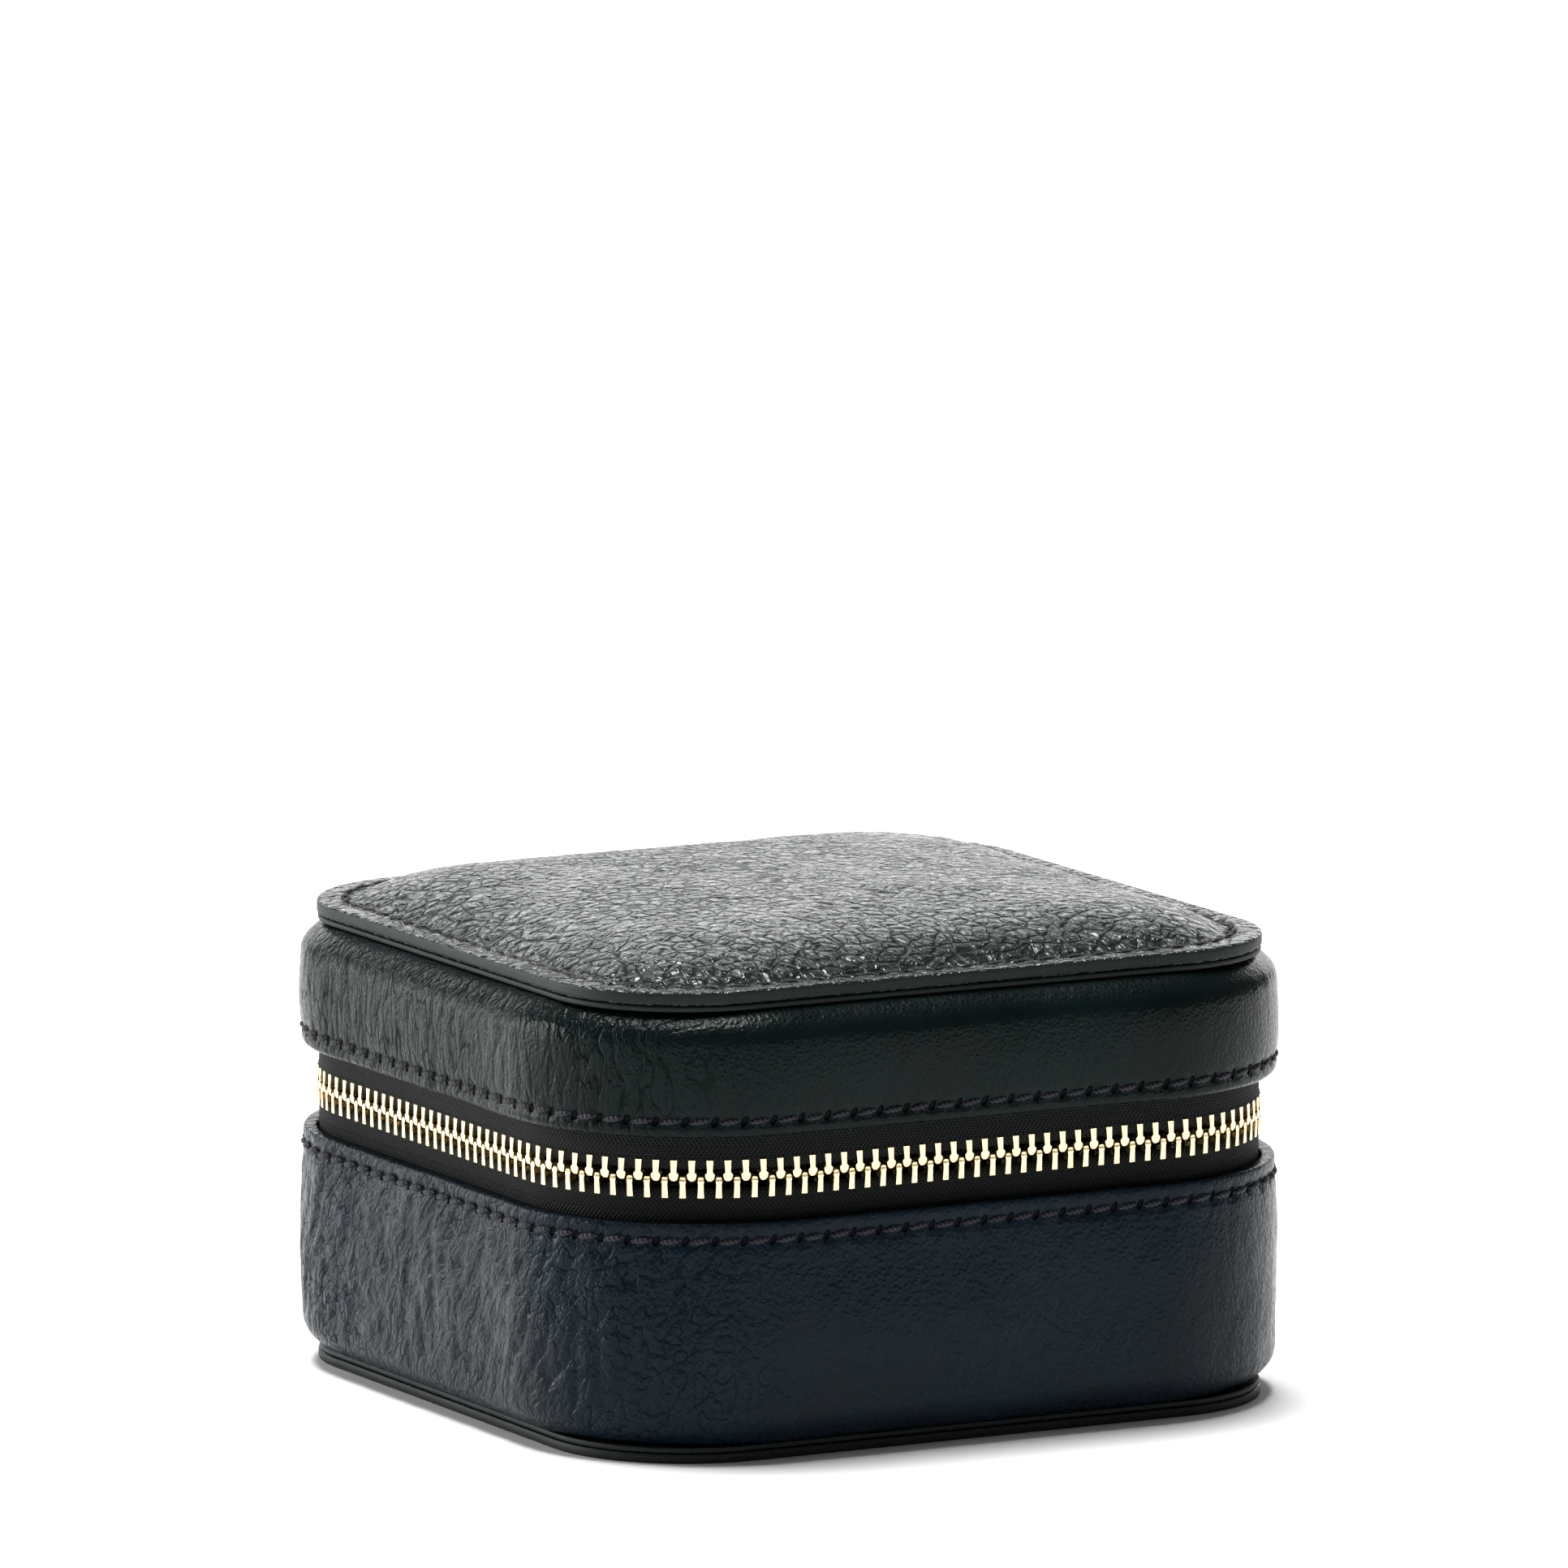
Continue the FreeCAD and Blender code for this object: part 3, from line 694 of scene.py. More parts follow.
# %% [markdown]
# ## The walls
#
# Each wall is one strip of leather glued to board.  At the panel it turns in through a
# quarter circle; at the zip the lid's edge is folded under and the base's edge is cut and
# left raw.  The leather is soft, so it swells a little between its two fixed edges, sinks
# where thread pulls it down, and creases: in fine upright wrinkles on the lid's left
# side, deeper and slanting on the base's.  All of that is relief: how far each
# point of the plain shell moves out.

# %% Wrinkles and seams
def creases(along, z, lean, width, length, seed):
    """Sharp valleys between broad folds, from 0 to 1 deep, with a lean."""
    a = (along + lean * z) / width
    b = (z - lean * along) / length
    first = noise.noise(Vector((a, b, seed)))
    second = noise.noise(Vector((2.3 * a, 1.7 * b, seed + 7)))
    return max(0.0, 1 - 3.2 * abs(first)) * 0.7 + max(0.0, 1 - 3.2 * abs(second)) * 0.3


def swell(along, z, seed):
    """Slow unevenness of hand-stretched leather."""
    return noise.noise(Vector((along / (17 * mm), z / (11 * mm), seed)))


def seam_pull(along, z, seam, pitch):
    """How far a row of stitches pulls the leather in, most at the needle holes."""
    row = math.exp(-((z - seam) / (0.75 * mm)) ** 2)
    gap = abs((along / pitch + 0.5) % 1 - 0.5) * pitch
    hole = math.exp(-(gap / (0.55 * mm)) ** 2)
    return row * (0.16 + 0.34 * hole) * mm


def side_weights(way):
    """How much a point belongs to the left side, and to the corners."""
    left = smooth_step(0.25, 0.95, -way.x)
    corner = 1 - smooth_step(0.0, 0.35, abs(abs(way.x) - abs(way.y)))
    return left, corner


def wall_skin(out):
    """1 on the outer skin of a wall, fading to 0 on its inner side."""
    return smooth_step(-1.3 * mm, -0.35 * mm, out)


def base_relief(along, z, out, way):
    low, high = base_low.z, base_high.z
    skin = wall_skin(out)
    if skin == 0 and z > low + 4.5 * mm:
        return 0.0, 0.0
    left, corner = side_weights(way)
    t = (z - low) / (high - low)
    middle = math.sin(math.pi * min(1, max(0, t))) ** 0.8
    # the wall is held flatter where the tab hangs and travels, so that it swings clear
    near = smooth_step(0.5, 0.9, max(way.x, way.y, way.x + way.y))
    middle *= 1 - 0.75 * near * smooth_step(-0.35, -0.05, way.y)
    push = 0.75 * mm * middle
    push += 0.30 * mm * swell(along, z, 2.0) * middle
    depth = (0.07 + 0.36 * left) * smooth_step(0.02, 0.25, t) * smooth_step(1.0, 0.86, t)
    push -= depth * mm * creases(along, z, -0.42, 4.2 * mm, 10 * mm, 5.0)
    push -= 0.05 * mm * creases(along, z, 0.8, 5 * mm, 8 * mm, 9.0)
    push -= 0.20 * mm * corner * creases(along, z, 0.0, 2.2 * mm, 30 * mm, 3.0) * (1 - t) ** 2
    push -= seam_pull(along, z, base_seam, wall_pitch)
    lip = smooth_step(base_seam + 0.4 * mm, base_seam + 1.2 * mm, z)
    push += 0.10 * mm * lip
    lift = 0.12 * mm * lip * noise.noise(Vector((along / (14 * mm), 0.0, 4.0)))
    return push * skin, lift


def lid_relief(along, z, out, way):
    low, high = lid_low.z, lid_high.z
    skin = wall_skin(out)
    if skin == 0 and z < high - 4.5 * mm:
        return 0.0, 0.0
    left, corner = side_weights(way)
    t = (z - low) / (high - low)
    middle = math.sin(math.pi * min(1, max(0, t * 0.95 + 0.02))) ** 0.8
    push = 0.70 * mm * middle
    push += 0.25 * mm * swell(along, z, 12.0) * middle
    depth = (0.03 + 0.15 * left) * smooth_step(0.10, 0.3, t) * smooth_step(1.02, 0.8, t)
    push -= depth * mm * creases(along, z, -0.10, 3.2 * mm, 14 * mm, 15.0)
    push -= 0.22 * mm * corner * creases(along, z, 0.0, 2.0 * mm, 30 * mm, 13.0) * t ** 3
    push -= seam_pull(along, z, lid_seam, wall_pitch)
    roll = 1 - smooth_step(lid_seam - 1.0 * mm, lid_seam - 0.3 * mm, z)
    push += 0.16 * mm * roll
    lift = 0.14 * mm * roll * noise.noise(Vector((along / (12 * mm), 1.0, 14.0)))
    return push * skin, lift


# %% [markdown]
# The base wall's profile starts inside, under the floor, runs out and turns up, climbs to the
# raw top edge, and comes back down inside the board's side.

# %% The base wall
leather_thick = 1.7 * mm
turn_radius = 4.0 * mm
flange = -9.0 * mm
cut_edge = 0.28 * mm
grid_step = 0.62 * mm


def base_profile():
    low, high = base_low.z, base_high.z
    points = [(flange, low), (-8 * mm, low)]
    points += bend(-turn_radius, low + turn_radius, turn_radius, -90, 0, 9)
    climb = round((high - low - turn_radius) / grid_step)
    points += [(0.0, z) for z in steps(low + turn_radius, high - cut_edge, climb)[1:]]
    points += bend(-cut_edge, high - cut_edge, cut_edge, 22, 90, 3)
    points += [(-leather_thick + cut_edge, high), (-leather_thick, high - cut_edge)]
    points += [(-leather_thick, z) for z in steps(high - 2 * mm, low + turn_radius, 4)]
    inner = turn_radius - leather_thick
    points += bend(-turn_radius, low + turn_radius, inner, -30, -90, 3)
    points += [(flange, low + leather_thick)]
    return points


base_shell = shell(wall_line, base_profile(), grid_step, base_relief)
unwrap_along(base_shell, wall_line, "level")
make_piece(
    base_shell, "base_wall", "base", [base_leather], ["base_wall_leather"],
)

# %% [markdown]
# The lid wall is the same idea upside down.  Its lower edge is folded, so it ends in a roll
# nearly as thick as two layers instead of a cut.


# %% The lid wall
def lid_profile():
    low, high = lid_low.z, lid_high.z
    fold = leather_thick / 2
    points = [(flange, high), (-8 * mm, high)]
    points += bend(-turn_radius, high - turn_radius, turn_radius, 90, 0, 9)
    drop = round((high - low - turn_radius - fold) / grid_step)
    points += [(0.0, z) for z in steps(high - turn_radius, low + fold, drop)[1:]]
    points += bend(-fold, low + fold, fold, -20, -180, 8)
    points += [(-leather_thick, z) for z in steps(low + 2 * mm, high - turn_radius, 4)]
    inner = turn_radius - leather_thick
    points += bend(-turn_radius, high - turn_radius, inner, 30, 90, 3)
    points += [(flange, high - leather_thick)]
    return points


lid_shell = shell(wall_line, lid_profile(), grid_step, lid_relief)
unwrap_along(lid_shell, wall_line, "level")
make_piece(
    lid_shell, "lid_wall", "lid", [lid_leather], ["lid_wall_leather"],
)

# %% [markdown]
# ## The padded top
#
# The top is one square of soft leather over foam.  Its rim lies flat on the wall's flange
# and is stitched down; inside the stitches the foam lifts it into a low cushion.  A cloth
# simulation would swell a cushion like this by itself, but it would lose the crisp
# rim and the seam.  So the top is drawn as rings that shrink towards the middle, each
# lifted by how far it lies from the edge, and then puckered along the seam.

# %% The top's relief
pad_foot = 4.9 * mm
pad_height = panel_high.z - rim_top
pad_leather = 1.3 * mm


def pad_rise(depth):
    """How far the padding lifts the leather at this depth inside the panel's edge."""
    deep = max(0.0, depth - pad_foot)
    return pad_height * (1 - math.exp(-deep / (6.0 * mm))) + 0.7 * mm * smooth_step(0, 40 * mm, deep)


def top_relief(depth, along, spot):
    """Seam, puckers and soft creases on the top leather."""
    along *= seam_line.length / panel_line.length
    gap = abs((along / rim_pitch + 0.5) % 1 - 0.5) * rim_pitch
    hole = math.exp(-(gap / (0.6 * mm)) ** 2)
    groove = math.exp(-((depth - seam_inset) / (0.62 * mm)) ** 2)
    height = -groove * (0.22 + 0.30 * hole) * mm
    near = math.exp(-((depth - seam_inset) / (2.4 * mm)) ** 2)
    pucker = noise.noise(Vector((along / (1.5 * mm), depth / (2.2 * mm), 21.0)))
    scallop = 0.5 - 0.5 * math.cos(2 * math.pi * along / rim_pitch)
    height += near * (0.16 * scallop + 0.16 * pucker) * mm
    soft = smooth_step(3.5 * mm, 9 * mm, depth)
    height += 0.16 * mm * soft * noise.noise(spot / (9 * mm))
    height -= 0.08 * mm * soft * creases(spot.x, spot.y, 0.5, 3.4 * mm, 6 * mm, 25.0)
    height -= 0.06 * mm * soft * creases(spot.x, spot.y, -0.9, 2.2 * mm, 5 * mm, 28.0)
    return height


def cushion(rows):
    """Rings of the panel's outline.  Each row is a depth and a height, which may be a function."""
    bm = bmesh.new()
    first_loop(bm, panel_line, 0.62 * mm)
    near_at = bm.verts.layers.float_vector.new("near")
    way_at = bm.verts.layers.float_vector.new("way")
    along_at = bm.verts.layers.float.new("along")
    depth_at = bm.verts.layers.float.new("depth")
    for vert in bm.verts:
        vert[near_at], vert[way_at], _ = panel_line.foot(vert.co)
        vert[along_at] = panel_line.along(vert.co)
    loop, verts = bm.edges[:], bm.verts[:]
    for index, (depth, z) in enumerate(rows):
        if index:
            loop, verts = next_loop(bm, loop)
        radius = max(panel_line.radius - depth, 0.35 * (panel_line.half - depth))
        shrink = (panel_line.half - depth - radius) / panel_line.centre
        for vert in verts:
            vert[depth_at] = depth
            spot = vert[near_at] * shrink + vert[way_at] * radius
            height = z(depth, vert[along_at], spot) if callable(z) else z
            vert.co = Vector((spot.x, spot.y, height))
    bmesh.ops.holes_fill(bm, edges=[e for e in bm.edges if e.is_boundary], sides=0)
    return bm


def over(depth, along, spot):
    return rim_top + pad_rise(depth) + top_relief(depth, along, spot)


def under(depth, along, spot):
    return rim_top + pad_rise(depth) - pad_leather


# %% [markdown]
# The rings run outwards under the leather, round the cut edge, and back over the top.

# %% The top panel and its foam
panel_middle = panel_line.half - 0.5 * mm
panel_base = panel_low.z
rows = [(d, under) for d in steps(panel_middle, 8.0 * mm, 14)]
rows += [(6.4 * mm, under), (5.2 * mm, panel_base), (0.25 * mm, panel_base)]
rows += [(0.0, z) for z in steps(panel_base + 0.25 * mm, rim_top - 0.45 * mm, 3)]
rows += [(0.06 * mm, rim_top - 0.2 * mm), (0.22 * mm, rim_top - 0.05 * mm)]
rows += [(d, over) for d in steps(0.45 * mm, 8.1 * mm, 24)]
rows += [(d, over) for d in steps(8.7 * mm, panel_middle, 70)]
top = cushion(rows)
unwrap_along(top, panel_line, "depth")
for face in top.faces:
    _, _, out = panel_line.foot(face.calc_center_median())
    if out > -0.12 * mm:
        face.material_index = 1
lid_top = make_piece(top, "lid_top", "lid",
                     [top_leather, edge_paint], ["lid_panel_leather"])

foam_base = panel_base + 0.01 * mm


def foam_top(depth, along, spot):
    return max(foam_base + 0.1 * mm, under(depth, along, spot) - 0.06 * mm)


foam_rows = [(d, foam_base) for d in steps(panel_middle, 6.6 * mm, 6)]
foam_rows += [(d, foam_top) for d in steps(6.7 * mm, panel_middle, 24)]
foam = make_piece(cushion(foam_rows), "lid_foam", "lid", [foam_finish],
                  ["lid_padding"])

# %% [markdown]
# ## Flat panels
#
# The welt under the rim and the bottom panel are cut flat.  Each is a square face with its
# corners bevelled round, raised to its thickness, with its cut edges broken by a small bevel.


# %% Cut panels
def cut_panel(outline, low, high, edge, name, body, finishes, replaces):
    """A flat panel with softened edges.  The second finish, if any, goes on the cut edge."""
    bm = bmesh.new()
    first_loop(bm, outline, 1.6 * mm)
    bottom = bmesh.ops.contextual_create(bm, geom=bm.edges[:])["faces"]
    bmesh.ops.translate(bm, verts=bm.verts[:], vec=(0, 0, low))
    up = bmesh.ops.extrude_face_region(bm, geom=bottom, use_keep_orig=True)["geom"]
    raised = [g for g in up if isinstance(g, bmesh.types.BMVert)]
    bmesh.ops.translate(bm, verts=raised, vec=(0, 0, high - low))
    bmesh.ops.recalc_face_normals(bm, faces=bm.faces[:])
    rims = [e for e in bm.edges if abs(e.verts[0].co.z - e.verts[1].co.z) < 1e-7]
    bmesh.ops.bevel(bm, geom=rims, offset=edge, offset_type="OFFSET", segments=2,
                    profile=0.5, affect="EDGES", material=-1, clamp_overlap=True)
    if len(finishes) > 1:
        for face in bm.faces:
            face.material_index = int(abs(face.normal.z) < 0.5)
    piece = make_piece(bm, name, body, finishes, replaces)
    for polygon in piece.data.polygons:
        polygon.use_smooth = len(polygon.vertices) == 4
    return piece


cut_panel(panel_line.inset(0.12 * mm), welt_low.z, welt_high.z, 0.22 * mm, "lid_welt",
          "lid", [trim_leather, edge_paint], ["lid_panel_welt"])
cut_panel(panel_line, bottom_low.z, bottom_high.z, 0.22 * mm, "bottom_panel", "base",
          [base_leather, edge_paint], ["bottom_panel_leather"])
cut_panel(panel_line.inset(0.10 * mm), bottom_high.z + 0.06 * mm, sole_high.z, 0.20 * mm,
          "bottom_welt", "base", [trim_leather, edge_paint],
          ["bottom_panel_welt"])

# %% [markdown]
# ## Stitches
#
# Each seam is a row of single stitches.  A stitch comes up through one hole, lies slanted on
# the leather and goes down through the next, so it is thick in the middle and its ends sink
# out of sight.  One stitch is shaped from a small sphere and set down again and again along
# the outline, with a little unevenness that is the same on every run.


# %% Sewing
def stitch_shape():
    """One stitch, lying along X, with Z pointing away from the leather."""
    bm = bmesh.new()
    bmesh.ops.create_uvsphere(bm, u_segments=8, v_segments=8, radius=1)
    bmesh.ops.rotate(bm, verts=bm.verts[:], matrix=Matrix.Rotation(math.pi / 2, 3, "Y"))
    uv = bm.loops.layers.uv.new("cloth")
    for face in bm.faces:
        for loop in face.loops:
            x, y, z = loop.vert.co
            loop[uv].uv = (x * 1.5 * mm, math.atan2(y, z) / (2 * math.pi))
    for vert in bm.verts:
        x = vert.co.x
        vert.co.z -= 0.75 * x ** 4
        vert.co.y *= 1 - 0.25 * x * x
    bmesh.ops.scale(bm, verts=bm.verts[:], vec=(1.62 * mm, 0.46 * mm, 0.44 * mm))
    mesh = bpy.data.meshes.new("stitch")
    bm.to_mesh(mesh)
    bm.free()
    return mesh


stitch = stitch_shape()


def sew(name, body, spots, slant, replaces=(), width=1.0):
    """Sets a stitch at each spot: its point, its outward way, its run and its length."""
    bm = bmesh.new()
    for index, (point, out, forward, length) in enumerate(spots):
        third = out.cross(forward).normalized()
        jitter = noise.noise(Vector((index * 0.73, 0.0, 31.0)))
        lean = Matrix.Rotation(math.radians(slant + 5 * jitter), 3, "Z")
        size = length / stitch_pitch
        stretch = Matrix.Diagonal((size * (1 + 0.04 * jitter), width, width))
        before = len(bm.verts)
        bm.from_mesh(stitch)
        bm.verts.ensure_lookup_table()
        turn = (Matrix((forward, third, out)).transposed() @ lean @ stretch).to_4x4()
        turn.translation = point + third * (0.10 * mm * jitter)
        bmesh.ops.transform(bm, matrix=turn, verts=bm.verts[before:])
    return make_piece(bm, name, body, [thread_finish], replaces)


def ring_of(outline, count, sink, z, out=None):
    """Spots for stitches round an outline, on its side or on a flat face."""
    spots = []
    pitch = outline.length / count
    for index in range(count):
        point, way = outline.at((index + 0.5) * pitch, sink, z)
        forward = Vector((-way.y, way.x, 0))
        spots.append((point, Vector(out) if out else way, forward, pitch))
    return spots


def line_of(start, end, out, pitch):
    """Spots for stitches along a straight line."""
    count = round((end - start).length / pitch)
    forward = (end - start).normalized()
    length = (end - start).length / count
    return [(start + forward * (index + 0.5) * length, Vector(out), forward, length)
            for index in range(count)]


up, down = (0, 0, 1), (0, 0, -1)
sew("base_stitches", "base", ring_of(wall_line, wall_stitches, 0.12 * mm, base_seam), 9,
    ["base_seam_thread"])
sew("lid_stitches", "lid", ring_of(wall_line, wall_stitches, 0.22 * mm, lid_seam), 9,
    ["lid_seam_thread"])
sew("rim_stitches", "lid", ring_of(seam_line, rim_stitches, 0, rim_top - 0.12 * mm, up), -9,
    ["rim_thread"])
sew("bottom_stitches", "base", ring_of(seam_line, rim_stitches, 0, 0.38 * mm, down), 9,
    ["bottom_seam_thread"])

# %% [markdown]
# The pull tab is two layers sewn along their long edges, and the mirror's frame is
# sewn all round near its outer edge.

# %% Small seams
tab_low, tab_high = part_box("pull_tab")
tab_middle = (tab_low + tab_high) / 2
tab_seam_side = 2.75 * mm
tab_spots = []
for face_y, way in ((tab_high.y, 1), (tab_low.y, -1)):
    for side in (-1, 1):
        x = tab_middle.x + side * tab_seam_side
        y = face_y + way * 0.04 * mm
        seam_low = Vector((x, y, tab_low.z + 3 * mm))
        seam_high = Vector((x, y, tab_high.z - 6 * mm))
        tab_spots += line_of(seam_low, seam_high, (0, way, 0), 2.4 * mm)
sew("tab_stitches", "tab", tab_spots, 8, width=0.55)

frame_low, frame_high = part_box("lid_mirror_frame")
frame_seam = Outline(frame_high.x, 13.5 * mm).inset(1.8 * mm)
sew("mirror_frame_stitches", "lid",
    ring_of(frame_seam, round(frame_seam.length / (3 * mm)), 0, frame_low.z - 0.02 * mm, down),
    8, width=0.6)

# %% [markdown]
# ## Linings
#
# The lining is glued down inside the walls and carried over the board's edge, so that
# the board doesn't show when the case is open.  It is one more moulding: up the inside, over
# the edge in a soft roll, and a little way down behind.


# %% Lining shells
def lining(name, body, node, board_end, room_end, way):
    """A lining whose roll points up (way 1) or down (way -1)."""
    back, behind, inner, front = -2.74 * mm, -2.86 * mm, -5.02 * mm, -5.66 * mm
    middle, half = (back + front) / 2, (back - front) / 2
    tail = board_end - way * 3 * mm
    points = [(back, tail), (back, board_end - way * 1.2 * mm)]
    for angle in steps(0, math.pi, 8):
        points.append((middle + half * math.cos(angle),
                       board_end + way * (0.05 + 0.5 * math.sin(angle)) * mm))
    points += [(front, z) for z in steps(board_end, room_end, 14)[1:]]
    points += [(inner, room_end), (inner, board_end), (behind, board_end), (behind, tail)]

    def relief(along, z, out, facing):
        soft = 0.10 * mm * noise.noise(Vector((along / (9 * mm), z / (7 * mm), 51.0)))
        return (soft if out < -5.6 * mm else 0.0), 0.0

    ring = shell(wall_line, points, 2.2 * mm, relief)
    return make_piece(ring, name, body, [lining_finish], [node])


base_board_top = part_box("base_wall_board")[1].z
lid_board_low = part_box("lid_wall_board")[0].z
lining("base_lining", "base", "base_wall_lining", base_board_top,
       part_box("base_wall_lining")[0].z, 1)
lining("lid_lining", "lid", "lid_wall_lining", lid_board_low,
       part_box("lid_wall_lining")[1].z, -1)

# %% [markdown]
# ## Ring rolls
#
# Rings are pushed between stuffed rolls.  Each roll is a tube of paler brushed cloth over foam,
# rounder above than below and pinched in at its ends.  The last one is shorter.  A fine cube is rounded by
# moving its points, and small puckers are added where the ends are gathered.


# %% Stuffed rolls
def roll_shape(length, width, height, seed):
    """One roll along X, centred on the origin; seed changes its puckers."""
    bm = bmesh.new()
    bmesh.ops.create_cube(bm, size=2)
    bmesh.ops.subdivide_edges(bm, edges=bm.edges[:], cuts=13, use_grid_fill=True)
    for vert in bm.verts:
        x, y, z = vert.co
        square = max(abs(y), abs(z))
        power = 2.2 if z > 0 else 3.4
        norm = (abs(y) ** power + abs(z) ** power) ** (1 / power)
        round_off = square / norm if norm > 1e-6 else 1.0
        pinch = 1 - 0.16 * abs(x) ** 7
        angle = math.atan2(z, y)
        pucker = noise.noise(Vector((3.2 * math.cos(angle), 3.2 * math.sin(angle), seed)))
        slack = noise.noise(Vector((x * 5, y * 1.3, seed + z)))
        pinch += 0.05 * pucker * abs(x) ** 5 + 0.025 * slack
        end = 0.035 * (1 - min(1, y * y + z * z)) if abs(x) > 0.99 else 0.0
        vert.co = Vector((
            (x + math.copysign(end, x)) * length / 2 * 0.975,
            y * round_off * pinch * width / 2,
            z * round_off * (1 - (1 - pinch) * 0.5) * height / 2,
        ))
    bmesh.ops.smooth_vert(bm, verts=bm.verts[:], factor=0.4)
    return bm


roll_low, roll_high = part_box("ring_rolls")
roll_count = 5
roll_gap = 0.4 * mm
last_roll_short = 6 * mm
roll_overlap = 0.2 * mm
roll_pitch = (roll_high.y - roll_low.y + roll_gap) / roll_count
roll_height = roll_high.z - roll_low.z
rolls = bmesh.new()
for index in range(roll_count):
    length = 2 * roll_high.x - (last_roll_short if index == roll_count - 1 else 0)
    one = roll_shape(length, roll_pitch + roll_overlap, roll_height, 61.0 + index)
    y = roll_low.y + (index + 0.5) * roll_pitch - roll_gap / 2
    bmesh.ops.translate(one, verts=one.verts[:], vec=(0, y, roll_low.z + roll_height / 2))
    mesh = bpy.data.meshes.new("roll")
    one.to_mesh(mesh)
    one.free()
    rolls.from_mesh(mesh)
make_piece(rolls, "stuffed_rolls", "base", [pad_finish], ["ring_rolls"])

# %% [markdown]
# ## The spine
#
# Behind the zip's gap a strip of leather joins the two halves and bends each time the lid
# is opened.  It is one strip, and it bends evenly between base and lid.

# %% The bending strip
bend_half = 2.5 * mm
strip = bmesh.new()
bmesh.ops.create_grid(strip, x_segments=36, y_segments=34, size=1)
back_y = (spine_low.y + spine_high.y) / 2
for vert in strip.verts:
    x, t = vert.co.x * spine_high.x, (vert.co.y + 1) / 2
    z = spine_low.z + t * (spine_top.z - spine_low.z)
    fold = math.exp(-((z - chain_z) / (2.6 * mm)) ** 2)
    ripple = noise.noise(Vector((x / (9 * mm), z / (1.1 * mm), 71.0)))
    vert.co = Vector((x, spine_high.y - 0.02 * mm - 0.16 * mm * fold * abs(ripple), z))
skin = bmesh.ops.extrude_face_region(strip, geom=strip.faces[:], use_keep_orig=True)["geom"]
inner_skin = [g for g in skin if isinstance(g, bmesh.types.BMVert)]
bmesh.ops.translate(strip, verts=inner_skin, vec=(0, spine_low.y - spine_high.y, 0))
spine = make_piece(strip, "spine", None, [trim_leather],
                   ["spine_lower", "spine_upper"])
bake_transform(spine, "base", "lid", start=(0, back_y, chain_z - bend_half),
         end=(0, back_y, chain_z + bend_half))

# %% [markdown]
# ## Softened edges
#
# The dividers are board wrapped in cloth, and the tab and the mirror's frame are folded
# leather, so none of them has a sharp edge.  Their shapes are already right, so their
# edges are rounded by a modifier.  So are those of the flat linings, the cast slider and the
# end stops.  The values are in millimetres.

# %% Rounded edges
soft_edges = {
    "divider_left": 0.6, "divider_right": 0.6, "divider_cross": 0.3, "divider_keeper": 0.3,
    "lift_out_divider": 0.6, "pull_tab": 0.35, "lid_mirror_frame": 0.7, "slider": 0.15,
    "zip_end_stops": 0.15, "base_floor_lining": 0.2, "lid_top_lining": 0.2,
}
for node, size in soft_edges.items():
    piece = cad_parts[node]
    weld = piece.modifiers.new("weld", "WELD")
    weld.merge_threshold = 0.005 * mm
    bevel = piece.modifiers.new("soft edge", "BEVEL")
    bevel.width = size * mm
    bevel.segments = 3
    bevel.limit_method = "ANGLE"
    bevel.angle_limit = math.radians(40)
print("softened", len(soft_edges), "nodes")

# %% [markdown]
# ## The zip
#
# Two tapes face each other across the gap, each with a row of teeth clamped to its edge.  The
# tape's edge is woven round a cord, which shows as a soft ridge beside the teeth.  At the
# closed end a short piece of the upper tape stays with the base.


# %% Tapes
def tape_profile(low, high, cord_at_top):
    """Down one face of the tape and up the other, with a cord at one edge."""
    half = 0.35 * mm
    rows = steps(low, high, 10)
    face = []
    for z in rows:
        edge = (high - z) if cord_at_top else (z - low)
        cord = 0.16 * mm * math.exp(-((edge - 0.9 * mm) / (0.6 * mm)) ** 2)
        taper = 0.55 + 0.45 * smooth_step(0.0, 0.35 * mm, min(z - low, high - z))
        face.append((half * taper + cord, z))
    return face + [(-out, z) for out, z in reversed(face)]


def keep_side(bm, point, normal):
    """Cuts a mesh on a plane and keeps and closes the side the normal points to."""
    geom = bm.verts[:] + bm.edges[:] + bm.faces[:]
    cut = bmesh.ops.bisect_plane(bm, geom=geom, plane_co=point, plane_no=normal,
                                 clear_inner=True, dist=1e-7)["geom_cut"]
    edges = [g for g in cut if isinstance(g, bmesh.types.BMEdge)]
    bmesh.ops.holes_fill(bm, edges=edges, sides=0)


def tape_ring(low, high, cord_at_top):
    """A whole loop of tape along the chain's line, before its ends are cut."""
    bm = shell(chain_line, tape_profile(low, high, cord_at_top), 1.6 * mm)
    unwrap_along(bm, chain_line)
    return bm


zip_end = 19.0 * mm
split_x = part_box("upper_zip_end_tape")[1].x
end_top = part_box("upper_zip_end_tape")[1].z


def cut_out(bm, x_low, x_high, y_min):
    """Removes the faces of a ring between two X values at the back, closing the cut ends."""
    for x in (x_low, x_high):
        geom = bm.verts[:] + bm.edges[:] + bm.faces[:]
        bmesh.ops.bisect_plane(bm, geom=geom, plane_co=(x, 0, 0), plane_no=(1, 0, 0), dist=1e-7)
    gone = []
    for face in bm.faces:
        middle = face.calc_center_median()
        if middle.y > y_min and x_low < middle.x < x_high:
            gone.append(face)
    bmesh.ops.delete(bm, geom=gone, context="FACES")
    open_edges = [e for e in bm.edges if e.is_boundary]
    bmesh.ops.holes_fill(bm, edges=open_edges, sides=0)


lower_tape = tape_ring(tape_low.z, tape_high.z, True)
cut_out(lower_tape, -zip_end, zip_end, 0)
make_piece(lower_tape, "lower_tape", "base", [tape_finish], ["lower_zip_tape"])

